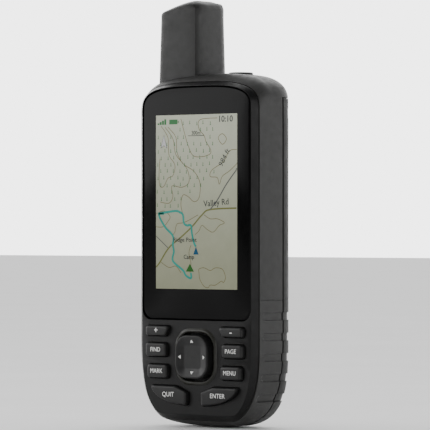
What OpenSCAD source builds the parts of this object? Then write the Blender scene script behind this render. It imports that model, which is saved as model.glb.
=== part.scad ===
// Handheld satellite navigator, built as it is assembled: a framed lens, keypad and
// board between a front frame and a main housing, with a battery door behind them.
// The front faces -Y, +X is to the user's right and the origin is under the middle.

/* [Body] */
// Width over both sides
body_w = 62; // [58:0.5:66]
// Height of the main housing without the antenna
housing_h = 134.4; // [133.4:0.2:135.4]
// Height with the antenna
total_h = 163; // [160:0.5:168]
// Distance from the front face to the back cover
body_d = 27; // [26.5:0.1:28]
// How far the rocker stands in front of the face
rocker_proud = 3; // [2.4:0.1:3.4]
// How far the mounting spine stands behind the cover
spine_proud = 5; // [4:0.1:6]
// Wall of the housing and the door
wall = 1.8; // [1.6:0.1:2]
// Where the front frame ends and the main housing starts
frame_d = 2; // [1.8:0.1:2.2]
// Where the main housing ends and the battery door starts
groove_y = 14; // [13.6:0.1:14.4]
// Width of the groove between the housing and the door
groove_w = 0.4; // [0.3:0.05:0.6]
// Half width of the front frame at its widest
frame_half_w = 29.15; // [28.6:0.05:29.6]

/* [Display] */
// Width of the lens
lens_w = 53.5; // [52:0.1:53.8]
// Bottom edge of the lens
lens_z0 = 40.75; // [40.3:0.05:41.2]
// Top edge of the lens
lens_z1 = 129.45; // [129:0.05:129.6]
// Thickness of the lens
lens_t = 1.2; // [1:0.1:1.3]
// Width of the display module
lcd_w = 44; // [42:0.5:45]
// Bottom of the display module
lcd_z0 = 47.5; // [47:0.1:48.5]
// Top of the display module
lcd_z1 = 121; // [118:0.5:122]

/* [Keys] */
// How far a key stands in front of the face
key_proud = 1.8; // [1:0.1:2.2]
// Gap around a key
key_gap = 0.2; // [0.15:0.05:0.3]
// Width of the flange that keeps a key in
key_flange = 0.8; // [0.5:0.1:0.9]
// Thickness of the flange
flange_t = 0.8; // [0.6:0.1:0.9]
// Travel of a key
key_travel = 0.6; // [0.4:0.05:0.7]
// Height of the middle of the rocker
rocker_z = 26.9; // [26.5:0.1:27.3]
// Width of the rocker pad
pad_w = 16.2; // [15.4:0.1:16.4]
// Height of the rocker pad
pad_h = 16.6; // [15.8:0.1:16.8]

/* [Antenna] */
// Middle of the antenna from the middle of the body
antenna_x = -14.5; // [-15:0.1:-14]
// Width of the antenna at its foot
antenna_w = 21; // [19:0.2:21.2]
// Front of the antenna behind the front face
antenna_y0 = 5.25; // [5:0.05:6]
// Back of the antenna behind the front face
antenna_y1 = 26.9; // [26:0.1:26.9]

/* [Power button and ports] */
// Place of the power button across the top
power_x = 9.4; // [8:0.1:10]
// Place of the power button behind the front face
power_y = 15.4; // [15.3:0.1:16]
// Radius of the power button
power_r = 4.7; // [4:0.1:5]
// Inner radius of the external antenna jack
jack_r = 1.72; // [1.7:0.01:1.75]

/* [Battery bay] */
// Radius of a cell
cell_r = 7.1; // [6.9:0.05:7.15]
// Length of a cell without its positive nub
cell_l = 49.2; // [48.8:0.1:49.5]
// Distance of each cell's axis from the middle
cell_x = 7.4; // [7.3:0.05:7.5]
// Bottom of the lower contact plates
bay_z0 = 54; // [52:0.5:55]

/* [Door latch] */
// Height of the middle of the latch
latch_z = 18; // [17.8:0.1:20]
// Radius of the dish that the ring lies in
dish_r = 9.9; // [9.8:0.1:10.4]
// Depth of the dish
dish_d = 3.4; // [3.2:0.1:3.6]
// Radius of the ring's wire
wire_r = 1; // [0.9:0.05:1]
// Radius of the ring, to the middle of its wire
ring_r = 7.4; // [7.2:0.05:7.5]
// Radius of the latch's hub
hub_r = 4; // [3.5:0.1:4.2]

/* [Hidden] */
$fn = 48;

// the device is drawn with y = 0 at its front face, then centred on its depth
front_y = rocker_proud - (body_d + rocker_proud + spine_proud) / 2;
half_w = body_w / 2;
far = 200;
step = 9;
touch = 0.01;

// outline of the body from the front: blunt curves at the foot and the shoulders
foot_h = 38;
foot_n = 3.1;
foot_sink = 0.35;
shoulder_h = 12.5;
shoulder_n = 2.9;

// back cover from above: a full quarter curve on each side of a narrow flat
back_flat = 3;
back_n = 2.3;
back_a = half_w - back_flat;
back_b = body_d - groove_y - 0.1;
back_y = body_d - back_b;

// layers behind the front face
lens_y = 0.2;
ledge_y = lens_y + lens_t + 0.2;
slab_y = frame_d + 0.8;
seal_y = frame_d + 0.4;
lcd_y = lens_y + lens_t;
lcd_t = 1.8;
backlight_t = 1;
mat_y = 4.1;
mat_t = 0.5;
board_y = 5.3;
board_t = 1;
rear_wall_y = 8.8;
bay_y = 9.8;
door_y = groove_y + groove_w / 2;
rim_y = groove_y - groove_w / 2;
door_top = 124.5;
shelf_z = 124.8;
shelf_t = 1.6;

// ribs cut into the lower sides
rib_pitch = 7.7;
rib_h = 3;
rib_z0 = 11.7;
rib_count = 5;
rib_d = 0.5;
rib_y0 = 4;

// screws that clamp the two housings: x, z
screw_at = [[-20, 124.2], [20, 124.2], [-22.4, 44.3], [22.4, 44.3], [0, 6.9]];
boss_r = 1.8;
boss_y = 8.6;

cell_y = bay_y + 0.5 + cell_r;
bay_h = 54;
nub_l = 1;
nub_r = 2.75;
plate_t = 0.3;

cap_z0 = 125.9;
cap_z1 = 130.9;
port_z = 128.55;
usb_x = 8;
jack_x = 17.6;
jack_outer_r = 2.1;
jack_mouth = 22.4;
jack_depth = 3.6;
torch_x = -0.6;
torch_r = 1.8;
pocket_d = 1.6;
cap_t = 0.95;

bar_z = latch_z + 4;
dish_y = body_d - dish_d;
latch_t = 1.2;
bar_y = dish_y + 0.1 + latch_t + 0.1 + wire_r;
run_gap = 0.06;

spine_z0 = 44;
spine_z1 = 92;

function mirrored(half) =
    concat(half, [for (i = [len(half) - 1:-1:0])
        if (half[i][0] > touch) [-half[i][0], half[i][1]]]);

function foot(w, z0, h) =
    [for (a = [90:-step:0])
        [w * pow(cos(a), 2 / foot_n), z0 + h * (1 - pow(sin(a), 2 / foot_n))]];

function shoulder(w, z1, h, n) =
    [for (a = [0:step:90])
        [w * pow(cos(a), 2 / n), z1 - h * (1 - pow(sin(a), 2 / n))]];

function body_outline(w, z0, z1, inset) =
    mirrored(concat(foot(w - inset, z0 + inset, foot_h - inset),
                    shoulder(w - inset, z1 - inset, shoulder_h - inset, shoulder_n)));

function arc(x, y, r, a0, a1, n) =
    [for (i = [0:n]) let (a = a0 + (a1 - a0) * i / n) [x + r * cos(a), y + r * sin(a)]];

function lens_outline(w, z0, z1, r) =
    mirrored(concat([[0, z0]], arc(w - r, z0 + r, r, -90, 0, 4),
                    shoulder(w, z1, 9, 3)));

function rounded(w, h, r, n = 3) =
    concat(arc(w / 2 - r, h / 2 - r, r, 0, 90, n), arc(r - w / 2, h / 2 - r, r, 90, 180, n),
           arc(r - w / 2, r - h / 2, r, 180, 270, n), arc(w / 2 - r, r - h / 2, r, 270, 360, n));

module seat() { translate([0, front_y, 0]) children(); }

// a flat shape drawn in x and z, from y0 back to y1
module deep(y0, y1) {
    translate([0, y1, 0]) rotate([90, 0, 0]) linear_extrude(y1 - y0) children();
}

// a flat shape drawn in y and z, from x0 to x1
module wide(x0, x1) {
    translate([x0, 0, 0]) rotate([90, 0, 90]) linear_extrude(x1 - x0) children();
}

module block(x0, x1, y0, y1, z0, z1) {
    translate([x0, y0, z0]) cube([x1 - x0, y1 - y0, z1 - z0]);
}

// a round bar along y
module bar_y(x, z, r, y0, y1) {
    translate([x, y1, z]) rotate([90, 0, 0]) cylinder(r = r, h = y1 - y0);
}

module plan(inset) {
    polygon(mirrored(concat(
        [[frame_half_w - inset, 0], [frame_half_w - inset, frame_d],
         [half_w - inset, groove_y - 0.3]],
        [for (a = [0:step:90])
            [back_flat + (back_a - inset) * pow(cos(a), 2 / back_n),
             back_y + (back_b - inset) * pow(sin(a), 2 / back_n)]])));
}

module side_view(inset) {
    back = body_d - inset;
    top = housing_h - inset;
    foot_r = 8;
    top_r = 6;
    polygon(concat(
        [[0, 2.8 + inset], [frame_d, 2.8 + inset], [5, 1 + inset], [9, inset]],
        arc(back - foot_r, foot_r + inset, foot_r, -90, 0, 4),
        arc(back - top_r, top - top_r, top_r, 0, 90, 4),
        [[8.5, top], [5.2, top - 0.6], [frame_d, top - 2.8], [0, top - 2.8]]));
}

// the outside of the two housings and the door, or a layer inset from it
module body_solid(inset) {
    intersection() {
        deep(0, far) polygon(body_outline(half_w, -foot_sink, housing_h, inset));
        linear_extrude(far) plan(inset);
        wide(-far, far) side_view(inset);
    }
}

module body_ring(outer, inner, y0, y1) {
    difference() {
        deep(y0, y1) polygon(body_outline(frame_half_w, 2.8 - foot_sink, 131, outer));
        deep(y0 - 1, y1 + 1) polygon(body_outline(frame_half_w, 2.8 - foot_sink, 131, inner));
    }
}

// the ribs that run round each side, as what is cut away
module rib_cuts() {
    for (i = [0:rib_count - 1]) {
        z = rib_z0 + i * rib_pitch;
        difference() {
            block(-far, far, rib_y0, 24, z - rib_h / 2, z + rib_h / 2);
            translate([0, 0, z - rib_h]) linear_extrude(2 * rib_h) plan(rib_d);
        }
    }
}

// ---- front frame and display ----

// front keys as outlines: side is -1 for the left column and 1 for the right
module wedge_key(side) {
    polygon([for (p = [[11.8, 38.5], [24.2, 38.5], [24.2, 34.5], [13.6, 34.5]])
        [side * p[0], p[1]]]);
}

module plain_key(side, x0, x1, z0, z1) {
    translate([side * (x0 + x1) / 2, (z0 + z1) / 2]) polygon(rounded(x1 - x0, z1 - z0, 0.7));
}

module foot_key(side) {
    curve = [for (a = [0:15:75]) [3.2 + 18.3 * cos(a), 15.8 - 7.4 * sin(a)]];
    polygon([for (p = concat(curve, [[3.2, 8.3], [3, 13.6], [9.2, 15.8]])) [side * p[0], p[1]]]);
}

module key_outline(i) {
    side = i < 4 ? -1 : 1;
    row = i % 4;
    if (row == 0) wedge_key(side);
    if (row == 1) plain_key(side, 12.6, 24.2, 26.6, 32);
    if (row == 2) plain_key(side, 12.2, 23.6, 18.4, 23.8);
    if (row == 3) foot_key(side);
}

key_middle = [[18.5, 36.5], [18.4, 29.3], [17.9, 21.1], [11.5, 12]];

module key(i) {
    side = i < 4 ? -1 : 1;
    flange_y = slab_y + 0.1;
    seat() {
        deep(-key_proud, flange_y + touch) key_outline(i);
        deep(flange_y, flange_y + flange_t - 0.3) offset(delta = key_flange) key_outline(i);
        bar_y(side * key_middle[i % 4][0], key_middle[i % 4][1], 1.5,
              flange_y + touch, mat_y - key_travel - 0.05);
    }
}

module frame_blank() {
    hull() {
        deep(0, touch) polygon(body_outline(frame_half_w - 2.15, 4.8 - foot_sink, 129.8, 0));
        deep(frame_d - touch, frame_d)
            polygon(body_outline(frame_half_w, 2.8 - foot_sink, 131, 0));
    }
    deep(frame_d - touch, slab_y)
        polygon(body_outline(frame_half_w, 2.8 - foot_sink, 131, 2.2));
    for (p = screw_at) bar_y(p[0], p[1], boss_r, slab_y - touch, boss_y);
}

module front_housing() {
    color("#2b2b2b") seat() difference() {
        frame_blank();
        deep(-1, ledge_y) polygon(lens_outline(lens_w / 2 + 0.1, lens_z0 - 0.1, lens_z1 + 0.1, 4.5));
        block(-lcd_w / 2 - 0.2, lcd_w / 2 + 0.2, 0, slab_y + 1, lcd_z0 - 0.2, lcd_z1 + 0.2);
        for (i = [0:7]) deep(-1, slab_y + 1) offset(delta = key_gap) key_outline(i);
        deep(-1, slab_y + 1) translate([0, rocker_z]) polygon(rounded(19.2, 20, 6.6));
        for (p = screw_at) bar_y(p[0], p[1], 0.85, slab_y + 0.4, boss_y + 1);
    }
}

module display_lens() {
    color("#101010", 0.9) seat()
        deep(lens_y, lens_y + lens_t) polygon(lens_outline(lens_w / 2, lens_z0, lens_z1, 4.4));
}

module lens_gasket() {
    color("#181818") seat() difference() {
        deep(lcd_y, ledge_y) polygon(lens_outline(lens_w / 2 - 0.3, lens_z0 + 0.3, lens_z1 - 0.3, 4.1));
        block(-lcd_w / 2 - 0.2, lcd_w / 2 + 0.2, 0, 5, lcd_z0 - 0.2, lcd_z1 + 0.2);
    }
}

module lcd_panel() {
    color("#b3b39b") seat() block(-lcd_w / 2, lcd_w / 2, lcd_y, lcd_y + lcd_t, lcd_z0, lcd_z1);
}

module backlight_plate() {
    y = lcd_y + lcd_t;
    color("#e8e8e4") seat()
        block(-lcd_w / 2 + 0.3, lcd_w / 2 - 0.3, y, y + backlight_t, lcd_z0 + 0.5, lcd_z1 - 0.5);
}

module display_bracket() {
    y = lcd_y + lcd_t + backlight_t;
    color("#b8babc") seat() difference() {
        union() {
            block(-24, 24, y, y + 0.4, lcd_z0 - 0.6, lcd_z1 + 0.6);
            for (side = [-1, 1])
                block(side * 23.8 - 0.2, side * 23.8 + 0.2, slab_y + 0.1, y + 0.2, 60, 108);
        }
        for (z = [55, 90]) block(-16, 16, y - 1, y + 1, z, z + 24);
    }
}

module display_flex() {
    y0 = lcd_y + lcd_t - 0.2;
    z1 = lcd_z0 - 0.05;
    color("#c98a2b") seat() wide(-7, 7) polygon([
        [y0, z1], [y0 - 0.2, z1 - 0.2], [y0 - 0.2, z1 - 1.5], [y0 + 0.4, z1 - 2.1],
        [board_y, z1 - 2.1], [board_y, z1 - 1.9], [y0 + 0.5, z1 - 1.9], [y0, z1 - 1.4]]);
}

module keypad_mat() {
    color("#3a3a3a") seat() difference() {
        deep(mat_y, mat_y + mat_t) intersection() {
            polygon(body_outline(frame_half_w, 2.8 - foot_sink, 131, 3.2));
            translate([-half_w, 0]) square([body_w, 42.2]);
        }
        for (p = screw_at) bar_y(p[0], p[1], boss_r + 0.3, 0, 20);
    }
}

module dome_switches() {
    rocker_at = [for (a = [0:90:270]) [4.6 * cos(a), rocker_z + 4.6 * sin(a)]];
    keys_at = [for (side = [-1, 1], p = key_middle) [side * p[0], p[1]]];
    color("#c8c8c8") seat() for (p = concat(rocker_at, keys_at))
        translate([p[0], board_y, p[1]]) rotate([90, 0, 0]) cylinder(r1 = 2, r2 = 1.1, h = 0.3);
}

module key_plus() { color("#333333") key(0); }
module key_find() { color("#333333") key(1); }
module key_mark() { color("#333333") key(2); }
module key_quit() { color("#333333") key(3); }
module key_minus() { color("#333333") key(4); }
module key_page() { color("#333333") key(5); }
module key_menu() { color("#333333") key(6); }
module key_enter() { color("#333333") key(7); }

module rocker_ring() {
    color("#4a4a42") seat() difference() {
        union() {
            deep(-0.6, 0) translate([0, rocker_z]) polygon(rounded(20.7, 21.5, 7.2));
            deep(-touch, slab_y) translate([0, rocker_z]) polygon(rounded(19.1, 19.9, 6.5));
        }
        deep(-1, slab_y + 1) translate([0, rocker_z]) polygon(rounded(17.8, 18.6, 6));
    }
}

// a pad with four faces that slope in to a flat middle
module rocker_pad() {
    dish = 0.9;
    color("#333333") seat() {
        difference() {
            deep(-rocker_proud, 1.2) translate([0, rocker_z]) polygon(rounded(pad_w, pad_h, 5.4, 4));
            hull() {
                deep(-rocker_proud - touch, -rocker_proud)
                    translate([0, rocker_z]) polygon(rounded(pad_w - 1.6, pad_h - 1.6, 4.6, 2));
                deep(-rocker_proud, dish - rocker_proud)
                    translate([0, rocker_z]) polygon(rounded(8, 8.6, 0.8, 2));
            }
        }
        bar_y(0, rocker_z, 1.2, 1.1, 2.2);
    }
}

module rocker_core() {
    color("#2f2f2f") seat() difference() {
        union() {
            bar_y(0, rocker_z, 5.4, 1.7, 3);
            for (a = [0:90:270]) bar_y(4.2 * cos(a), rocker_z + 4.2 * sin(a), 1.1, 2.9, 3.5);
        }
        bar_y(0, rocker_z, 1.5, 1, 2.5);
    }
}

// ---- board ----

module main_board() {
    color("#1f5a34") seat() difference() {
        deep(board_y, board_y + board_t)
            polygon(body_outline(frame_half_w, 2.8 - foot_sink, 131, 3.6));
        for (p = screw_at) bar_y(p[0], p[1], boss_r + 0.2, 0, 20);
    }
}

module can(x0, x1, z0, z1) {
    y = board_y + board_t;
    difference() {
        block(x0, x1, y, y + 1.9, z0, z1);
        block(x0 + 0.3, x1 - 0.3, y - 1, y + 1.6, z0 + 0.3, z1 - 0.3);
    }
}

module processor_shield() { color("#c4c6c8") seat() can(-22, 4, 62, 90); }

module receiver_shield() { color("#c4c6c8") seat() can(-20, -2, 97, 119); }

module pressure_sensor() {
    y = board_y + board_t;
    color("#9a9a9a") seat() difference() {
        block(16, 20, y, y + 1.1, 28, 32);
        bar_y(18, 30, 0.5, y + 0.6, y + 2);
    }
}

module beeper() {
    y = board_y + board_t;
    color("#1a1a1a") seat() difference() {
        bar_y(13, 106, 5, y, y + 1.9);
        bar_y(13, 106, 0.9, y + 1, y + 3);
    }
}

module memory_card_socket() {
    y = board_y + board_t;
    color("#c0c2c4") seat() difference() {
        block(7.5, 22.5, y, y + 1.9, 66, 81.5);
        block(9.3, 20.7, y + 0.5, y + 1.4, 67, 82);
    }
}

module memory_card() {
    y = board_y + board_t + 0.6;
    color("#202020") seat() block(9.5, 20.5, y, y + 0.7, 67.2, 82.2);
}

// ---- main housing and top ----

module housing_seal() {
    color("#101010") seat() body_ring(0.8, 1.8, frame_d, seal_y);
}

module antenna_foot(grow) {
    x0 = antenna_x - antenna_w / 2 - grow;
    x1 = antenna_x + antenna_w / 2 + grow;
    polygon(concat(
        arc(x0 + 4, antenna_y0 - grow + 4, 4, 270, 180, 3),
        arc(x0 + 7, antenna_y1 + grow - 7, 7, 180, 90, 5),
        arc(x1 - 7, antenna_y1 + grow - 7, 7, 90, 0, 5),
        [[x1, antenna_y0 + 0.6 - grow], [x1 - 1, antenna_y0 - grow]]));
}

module port_box(x0, x1, gap) {
    block(x0 + gap, x1 - gap, 15, 40, cap_z0 + gap, cap_z1 - gap);
}

module housing_outside() {
    intersection() {
        body_solid(0);
        union() {
            block(-far, far, seal_y, rim_y, 0, far);
            block(-far, far, rim_y - 1, far, shelf_z, far);
        }
    }
    // collar that carries the antenna
    intersection() {
        translate([0, 0, shelf_z]) linear_extrude(7.6) antenna_foot(0.8);
        block(-half_w, half_w, 0, body_d, 0, far);
        deep(0, far) polygon(body_outline(half_w + 0.3, -foot_sink, housing_h + 0.3, 0));
    }
}

module housing_rooms() {
    // room in front of the battery wall
    deep(seal_y - 1, rear_wall_y)
        polygon(body_outline(frame_half_w, 2.8 - foot_sink, 131, 2));
    // shallow tray behind it
    difference() {
        deep(bay_y, rim_y + 1) polygon(body_outline(half_w, 0, door_top + 1, 2.2));
        block(-far, far, 0, far, shelf_z - 1, far);
    }
    // top room beside the antenna, and the low one under it
    intersection() {
        body_solid(2);
        block(-3.6, 24, bay_y, 25.2, shelf_z + shelf_t, far);
    }
    block(-22, 0, bay_y, 24, shelf_z + shelf_t, 128.2);
    // ways through the battery wall: leads, and the memory card
    block(-20, -6, rear_wall_y - 1, bay_y + 1, shelf_z + shelf_t, 128);
    block(8.5, 21.5, rear_wall_y - 1, bay_y + 1, 67, 88);
}

module bay_walls() {
    for (z = [bay_z0 - 1.4, bay_z0 + bay_h])
        block(-15.8, 15.8, bay_y - touch, 19, z, z + 1.4);
}

module main_housing() {
    color("#3c3c3c") seat() {
        difference() {
            housing_outside();
            housing_rooms();
            rib_cuts();
            translate([0, 0, 129.8]) linear_extrude(far) antenna_foot(0.1);
            translate([antenna_x, 16, 120]) cylinder(r = 1.6, h = 20);
            translate([power_x, power_y, 128]) cylinder(r = power_r + 0.15, h = 20);
            for (p = screw_at) bar_y(p[0], p[1], 1.1, 5, 20);
            for (p = screw_at) bar_y(p[0], p[1], 2.1, bay_y - 0.4, rim_y + 1);
            difference() {
                union() {
                    port_box(2, 14.2, 0);
                    port_box(14.8, 21.4, 0);
                }
                body_solid(pocket_d);
            }
            block(usb_x - 4.1, usb_x + 4.1, 20, 40, port_z - 1.6, port_z + 1.6);
            bar_y(jack_x, port_z, jack_outer_r + 0.1, 15, 40);
            bar_y(torch_x, port_z, torch_r + 0.05, 20, 40);
        }
        bay_walls();
    }
}

module housing_screws() {
    color("#8a8c8e") seat() for (p = screw_at) difference() {
        union() {
            bar_y(p[0], p[1], 0.8, 3.6, bay_y - 0.3);
            bar_y(p[0], p[1], 1.9, bay_y - 0.4, bay_y + 0.8);
        }
        deep(bay_y + 0.3, bay_y + 2) translate([p[0], p[1]]) circle(r = 0.9, $fn = 6);
    }
}

module power_button() {
    z1 = housing_h + 0.4;
    color("#2e2e2e") seat() translate([power_x, power_y, 0]) {
        translate([0, 0, 130.8]) cylinder(r = power_r, h = z1 - 130.8);
        translate([0, 0, 130.2]) cylinder(r = power_r + 0.7, h = 0.7);
        translate([0, 0, 129.7]) cylinder(r = 1.2, h = 0.6);
    }
}

module power_switch() {
    z0 = shelf_z + shelf_t;
    color("#1c1c1c") seat() {
        block(power_x - 2.6, power_x + 2.6, power_y - 2.6, power_y + 2.6, z0, z0 + 1.9);
        translate([power_x, power_y, z0 + 1.8]) cylinder(r = 1.3, h = 0.8);
    }
}

// cover from three outlines: foot from above, sloping crown from the front, and side
module antenna_shape(inset, z0) {
    x0 = antenna_x - antenna_w / 2 + inset;
    x1 = antenna_x + antenna_w / 2 - inset;
    top = total_h - inset;
    intersection() {
        translate([0, 0, z0]) linear_extrude(far) antenna_foot(-inset);
        deep(0, far) polygon(concat(
            [[x0, z0], [x1, z0], [x1 - 0.7, 150]],
            arc(x1 - 5.8, top - 5, 5, 0, 75, 4),
            [[x1 - 8, top - 0.4], [x0 + 3.4, top - 2.3], [x0 + 0.9, top - 4.3], [x0 + 0.7, 150]]));
        wide(-far, far) polygon(concat(
            [[antenna_y0 + inset, z0], [antenna_y1 - inset, z0]],
            arc(antenna_y1 - inset - 6.2, top - 6, 6, 0, 90, 4),
            [[antenna_y0 + 6, top - 0.6], [antenna_y0 + inset + 0.7, top - 2.8]]));
    }
}

module antenna_cover() {
    color("#3a3a3a") seat() difference() {
        antenna_shape(0, 129.9);
        antenna_shape(1.6, 120);
    }
}

module antenna_core() {
    color("#d8d4c8") seat() translate([antenna_x, 16, 130]) difference() {
        cylinder(r = 5.5, h = 27);
        translate([0, 0, -1]) cylinder(r = 3.4, h = 26);
    }
}

module antenna_helix() {
    color("#c07a3a") seat() translate([antenna_x, 16, 131]) for (a = [0:90:270])
        linear_extrude(24, twist = -180, slices = 12, $fn = 6) rotate(a)
            polygon(concat(arc(0, 0, 6.3, -12, 12, 1), arc(0, 0, 5.95, 12, -12, 1)));
}

// coaxial lead: down through the collar, then forward to the board
module antenna_lead() {
    bend = 2;
    z = 127.1;
    lead_r = 0.5;
    plug_y = board_y + board_t;
    color("#222222") seat() {
        translate([antenna_x, 16, z + bend]) cylinder(r = lead_r, h = 5);
        translate([antenna_x, 16 - bend, z + bend]) rotate([90, 0, 90])
            rotate_extrude(angle = -90) translate([bend, 0]) circle(r = lead_r);
        bar_y(antenna_x, z, lead_r, plug_y + 1, 16 - bend);
        block(antenna_x - 1.3, antenna_x + 1.3, plug_y, plug_y + 1.6, 123.9, 127.4);
    }
}

module usb_socket() {
    color("#b4b6b8") seat() difference() {
        block(usb_x - 3.9, usb_x + 3.9, 21, 24.7, port_z - 1.4, port_z + 1.4);
        block(usb_x - 3.45, usb_x + 3.45, 21.6, 30, port_z - 0.95, port_z + 0.95);
    }
}

module cap_plate(x0, x1) {
    difference() {
        intersection() {
            body_solid(0);
            block(x0, x1, 15, 40, cap_z0 + 0.2, cap_z1 - 0.2);
        }
        body_solid(cap_t);
    }
}

module usb_cap() {
    color("#262626") seat() {
        cap_plate(2.2, 13.8);
        block(5.2, 10.8, 24.4, 25.9, port_z - 0.5, port_z + 0.5);
    }
}

module antenna_jack() {
    color("#c9a548") seat() difference() {
        union() {
            bar_y(jack_x, port_z, jack_outer_r, 16.6, jack_mouth);
            block(jack_x - 2.1, jack_x + 2.1, 15.4, 17, shelf_z + shelf_t, port_z + 0.8);
        }
        bar_y(jack_x, port_z, jack_r, jack_mouth - jack_depth, jack_mouth + 1);
    }
}

module antenna_jack_cap() {
    color("#262626") seat() cap_plate(15.2, 21);
}

module torch_lens() {
    color("#f2f2ee", 0.6) seat() intersection() {
        bar_y(torch_x, port_z, torch_r, 25.3, 40);
        body_solid(0.1);
    }
}

module torch_led() {
    color("#e8d86a") seat() {
        block(torch_x - 1.4, torch_x + 1.4, 22.4, 23.2, port_z - 1.4, port_z + 1.4);
        bar_y(torch_x, port_z, 1, 23.1, 24.9);
    }
}

// ---- power ----

module cell(x, z0, up) {
    seat() translate([x, cell_y, z0]) {
        translate([0, 0, up ? 0 : nub_l]) cylinder(r = cell_r, h = cell_l);
        translate([0, 0, up ? cell_l - touch : 0]) cylinder(r = nub_r, h = nub_l + touch);
    }
}

module battery_left() { color("#2a4f7a") cell(-cell_x, bay_z0 + 3.4, true); }

module battery_right() { color("#2a4f7a") cell(cell_x, bay_z0 + 0.4, false); }

module contact_plates() {
    color("#d0d2d4") seat() for (x = [-cell_x, cell_x], z = [bay_z0, bay_z0 + bay_h - plate_t])
        block(x - 5.5, x + 5.5, cell_y - 4.2, cell_y + 4.2, z, z + plate_t);
}

// a cone of wire with a flat foot, from a sweep of small rings along a spiral
module cone_spring(height) {
    turns = 3;
    sides = 8;
    rings = 36;
    wire = 0.35;
    function at(i) = let (t = i / rings)
        [(4 - 2 * t) * cos(360 * turns * t), (4 - 2 * t) * sin(360 * turns * t),
         wire + (height - 2 * wire) * t];
    points = [for (i = [0:rings], j = [0:sides - 1])
        let (p = at(i), a = 360 * turns * i / rings, b = 360 * j / sides)
        [p[0] + wire * cos(b) * cos(a), p[1] + wire * cos(b) * sin(a), p[2] + wire * sin(b)]];
    sides_of = [for (i = [0:rings - 1], j = [0:sides - 1])
        let (k = (j + 1) % sides)
        each [[i * sides + j, (i + 1) * sides + j, i * sides + k],
              [i * sides + k, (i + 1) * sides + j, (i + 1) * sides + k]]];
    ends = [[for (j = [0:sides - 1]) j], [for (j = [sides - 1:-1:0]) rings * sides + j]];
    polyhedron(points, concat(sides_of, ends));
}

module contact_springs() {
    color("#d8dadc") seat() {
        translate([-cell_x, cell_y, bay_z0 + plate_t]) cone_spring(3);
        translate([cell_x, cell_y, bay_z0 + bay_h - plate_t]) mirror([0, 0, 1]) cone_spring(3);
    }
}

module door_seal() {
    color("#5a2f2a") seat() difference() {
        deep(bay_y + 0.9, rim_y + 0.2) polygon(body_outline(half_w, 0, door_top, 2.6));
        deep(bay_y, rim_y + 1) polygon(body_outline(half_w, 0, door_top, 3.5));
        for (p = screw_at) bar_y(p[0], p[1], 2.3, 0, 20);
    }
}

// ---- battery door, latch and ring ----

module spine() {
    // a rail with a narrow neck and a wide head, for a belt clip or cradle
    y = body_d - 0.4;
    intersection() {
        translate([0, 0, spine_z0]) linear_extrude(spine_z1 - spine_z0) polygon([
            [-3.25, y], [3.25, y], [3.25, y + 2.9], [5.9, y + 2.9], [5.9, y + 4.6],
            [5.1, y + 5.4], [-5.1, y + 5.4], [-5.9, y + 4.6], [-5.9, y + 2.9], [-3.25, y + 2.9]]);
        wide(-10, 10) polygon([[0, spine_z0], [y + 3, spine_z0], [y + 5.4, spine_z0 + 3],
            [y + 5.4, spine_z1 - 1], [y + 4.6, spine_z1], [0, spine_z1]]);
    }
}

module battery_door() {
    color("#343434") seat() difference() {
        union() {
            difference() {
                intersection() {
                    body_solid(0);
                    block(-far, far, door_y, far, 0, door_top);
                }
                intersection() {
                    body_solid(wall);
                    block(-far, far, 0, far, 0, door_top - wall);
                }
                rib_cuts();
            }
            intersection() {
                body_solid(0.05);
                bar_y(0, latch_z, dish_r + 1.6, dish_y - 1.8, far);
            }
            spine();
        }
        bar_y(0, latch_z, dish_r, dish_y, far);
        bar_y(0, latch_z, hub_r + run_gap, 0, far);
    }
}

module latch() {
    lug = 1.7;
    color("#262626") seat() difference() {
        union() {
            bar_y(0, latch_z, 9.4, dish_y + 0.1, dish_y + 0.1 + latch_t);
            bar_y(0, latch_z, hub_r, dish_y - 2.2, dish_y + 0.2);
            block(-3, 3, dish_y + latch_t, bar_y + lug, bar_z - lug, bar_z + lug);
        }
        translate([-far / 2, bar_y, bar_z]) rotate([0, 90, 0]) cylinder(r = wire_r + run_gap, h = far);
        bar_y(0, latch_z, 0.8, 0, dish_y);
    }
}

module latch_cam() {
    y1 = dish_y - 2.2;
    color("#b0b2b4") seat() difference() {
        block(-8.6, 8.6, y1 - 1.2, y1, latch_z - 2.4, latch_z + 2.4);
        bar_y(0, latch_z, 0.95, 0, far);
    }
}

module latch_screw() {
    y1 = dish_y - 2.2;
    color("#8a8c8e") seat() {
        bar_y(0, latch_z, 0.75, y1 - 1.5, dish_y - 0.4);
        bar_y(0, latch_z, 1.8, y1 - 2.4, y1 - 1.2);
    }
}

module d_ring() {
    color("#3a3a3a") seat() translate([0, bar_y, bar_z]) {
        rotate([90, 0, 0]) rotate([0, 0, 180]) rotate_extrude(angle = 180)
            translate([ring_r, 0]) circle(r = wire_r);
        translate([-ring_r, 0, 0]) rotate([0, 90, 0]) cylinder(r = wire_r, h = 2 * ring_r);
        for (side = [-1, 1]) translate([side * ring_r, 0, 0]) sphere(r = wire_r);
    }
}

front_housing();
display_lens();
lens_gasket();
lcd_panel();
backlight_plate();
display_bracket();
display_flex();
keypad_mat();
dome_switches();
key_plus();
key_find();
key_mark();
key_quit();
key_minus();
key_page();
key_menu();
key_enter();
rocker_ring();
rocker_pad();
rocker_core();
main_board();
processor_shield();
receiver_shield();
pressure_sensor();
beeper();
memory_card_socket();
memory_card();
housing_seal();
main_housing();
housing_screws();
power_button();
power_switch();
antenna_cover();
antenna_core();
antenna_helix();
antenna_lead();
usb_socket();
usb_cap();
antenna_jack();
antenna_jack_cap();
torch_lens();
torch_led();
battery_left();
battery_right();
contact_plates();
contact_springs();
door_seal();
battery_door();
latch();
latch_cam();
latch_screw();
d_ring();
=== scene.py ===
"""The looks of a handheld navigator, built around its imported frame."""

import math
import random

import bmesh
import bpy
from mathutils import Matrix, Vector
from mathutils.geometry import tessellate_polygon


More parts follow.
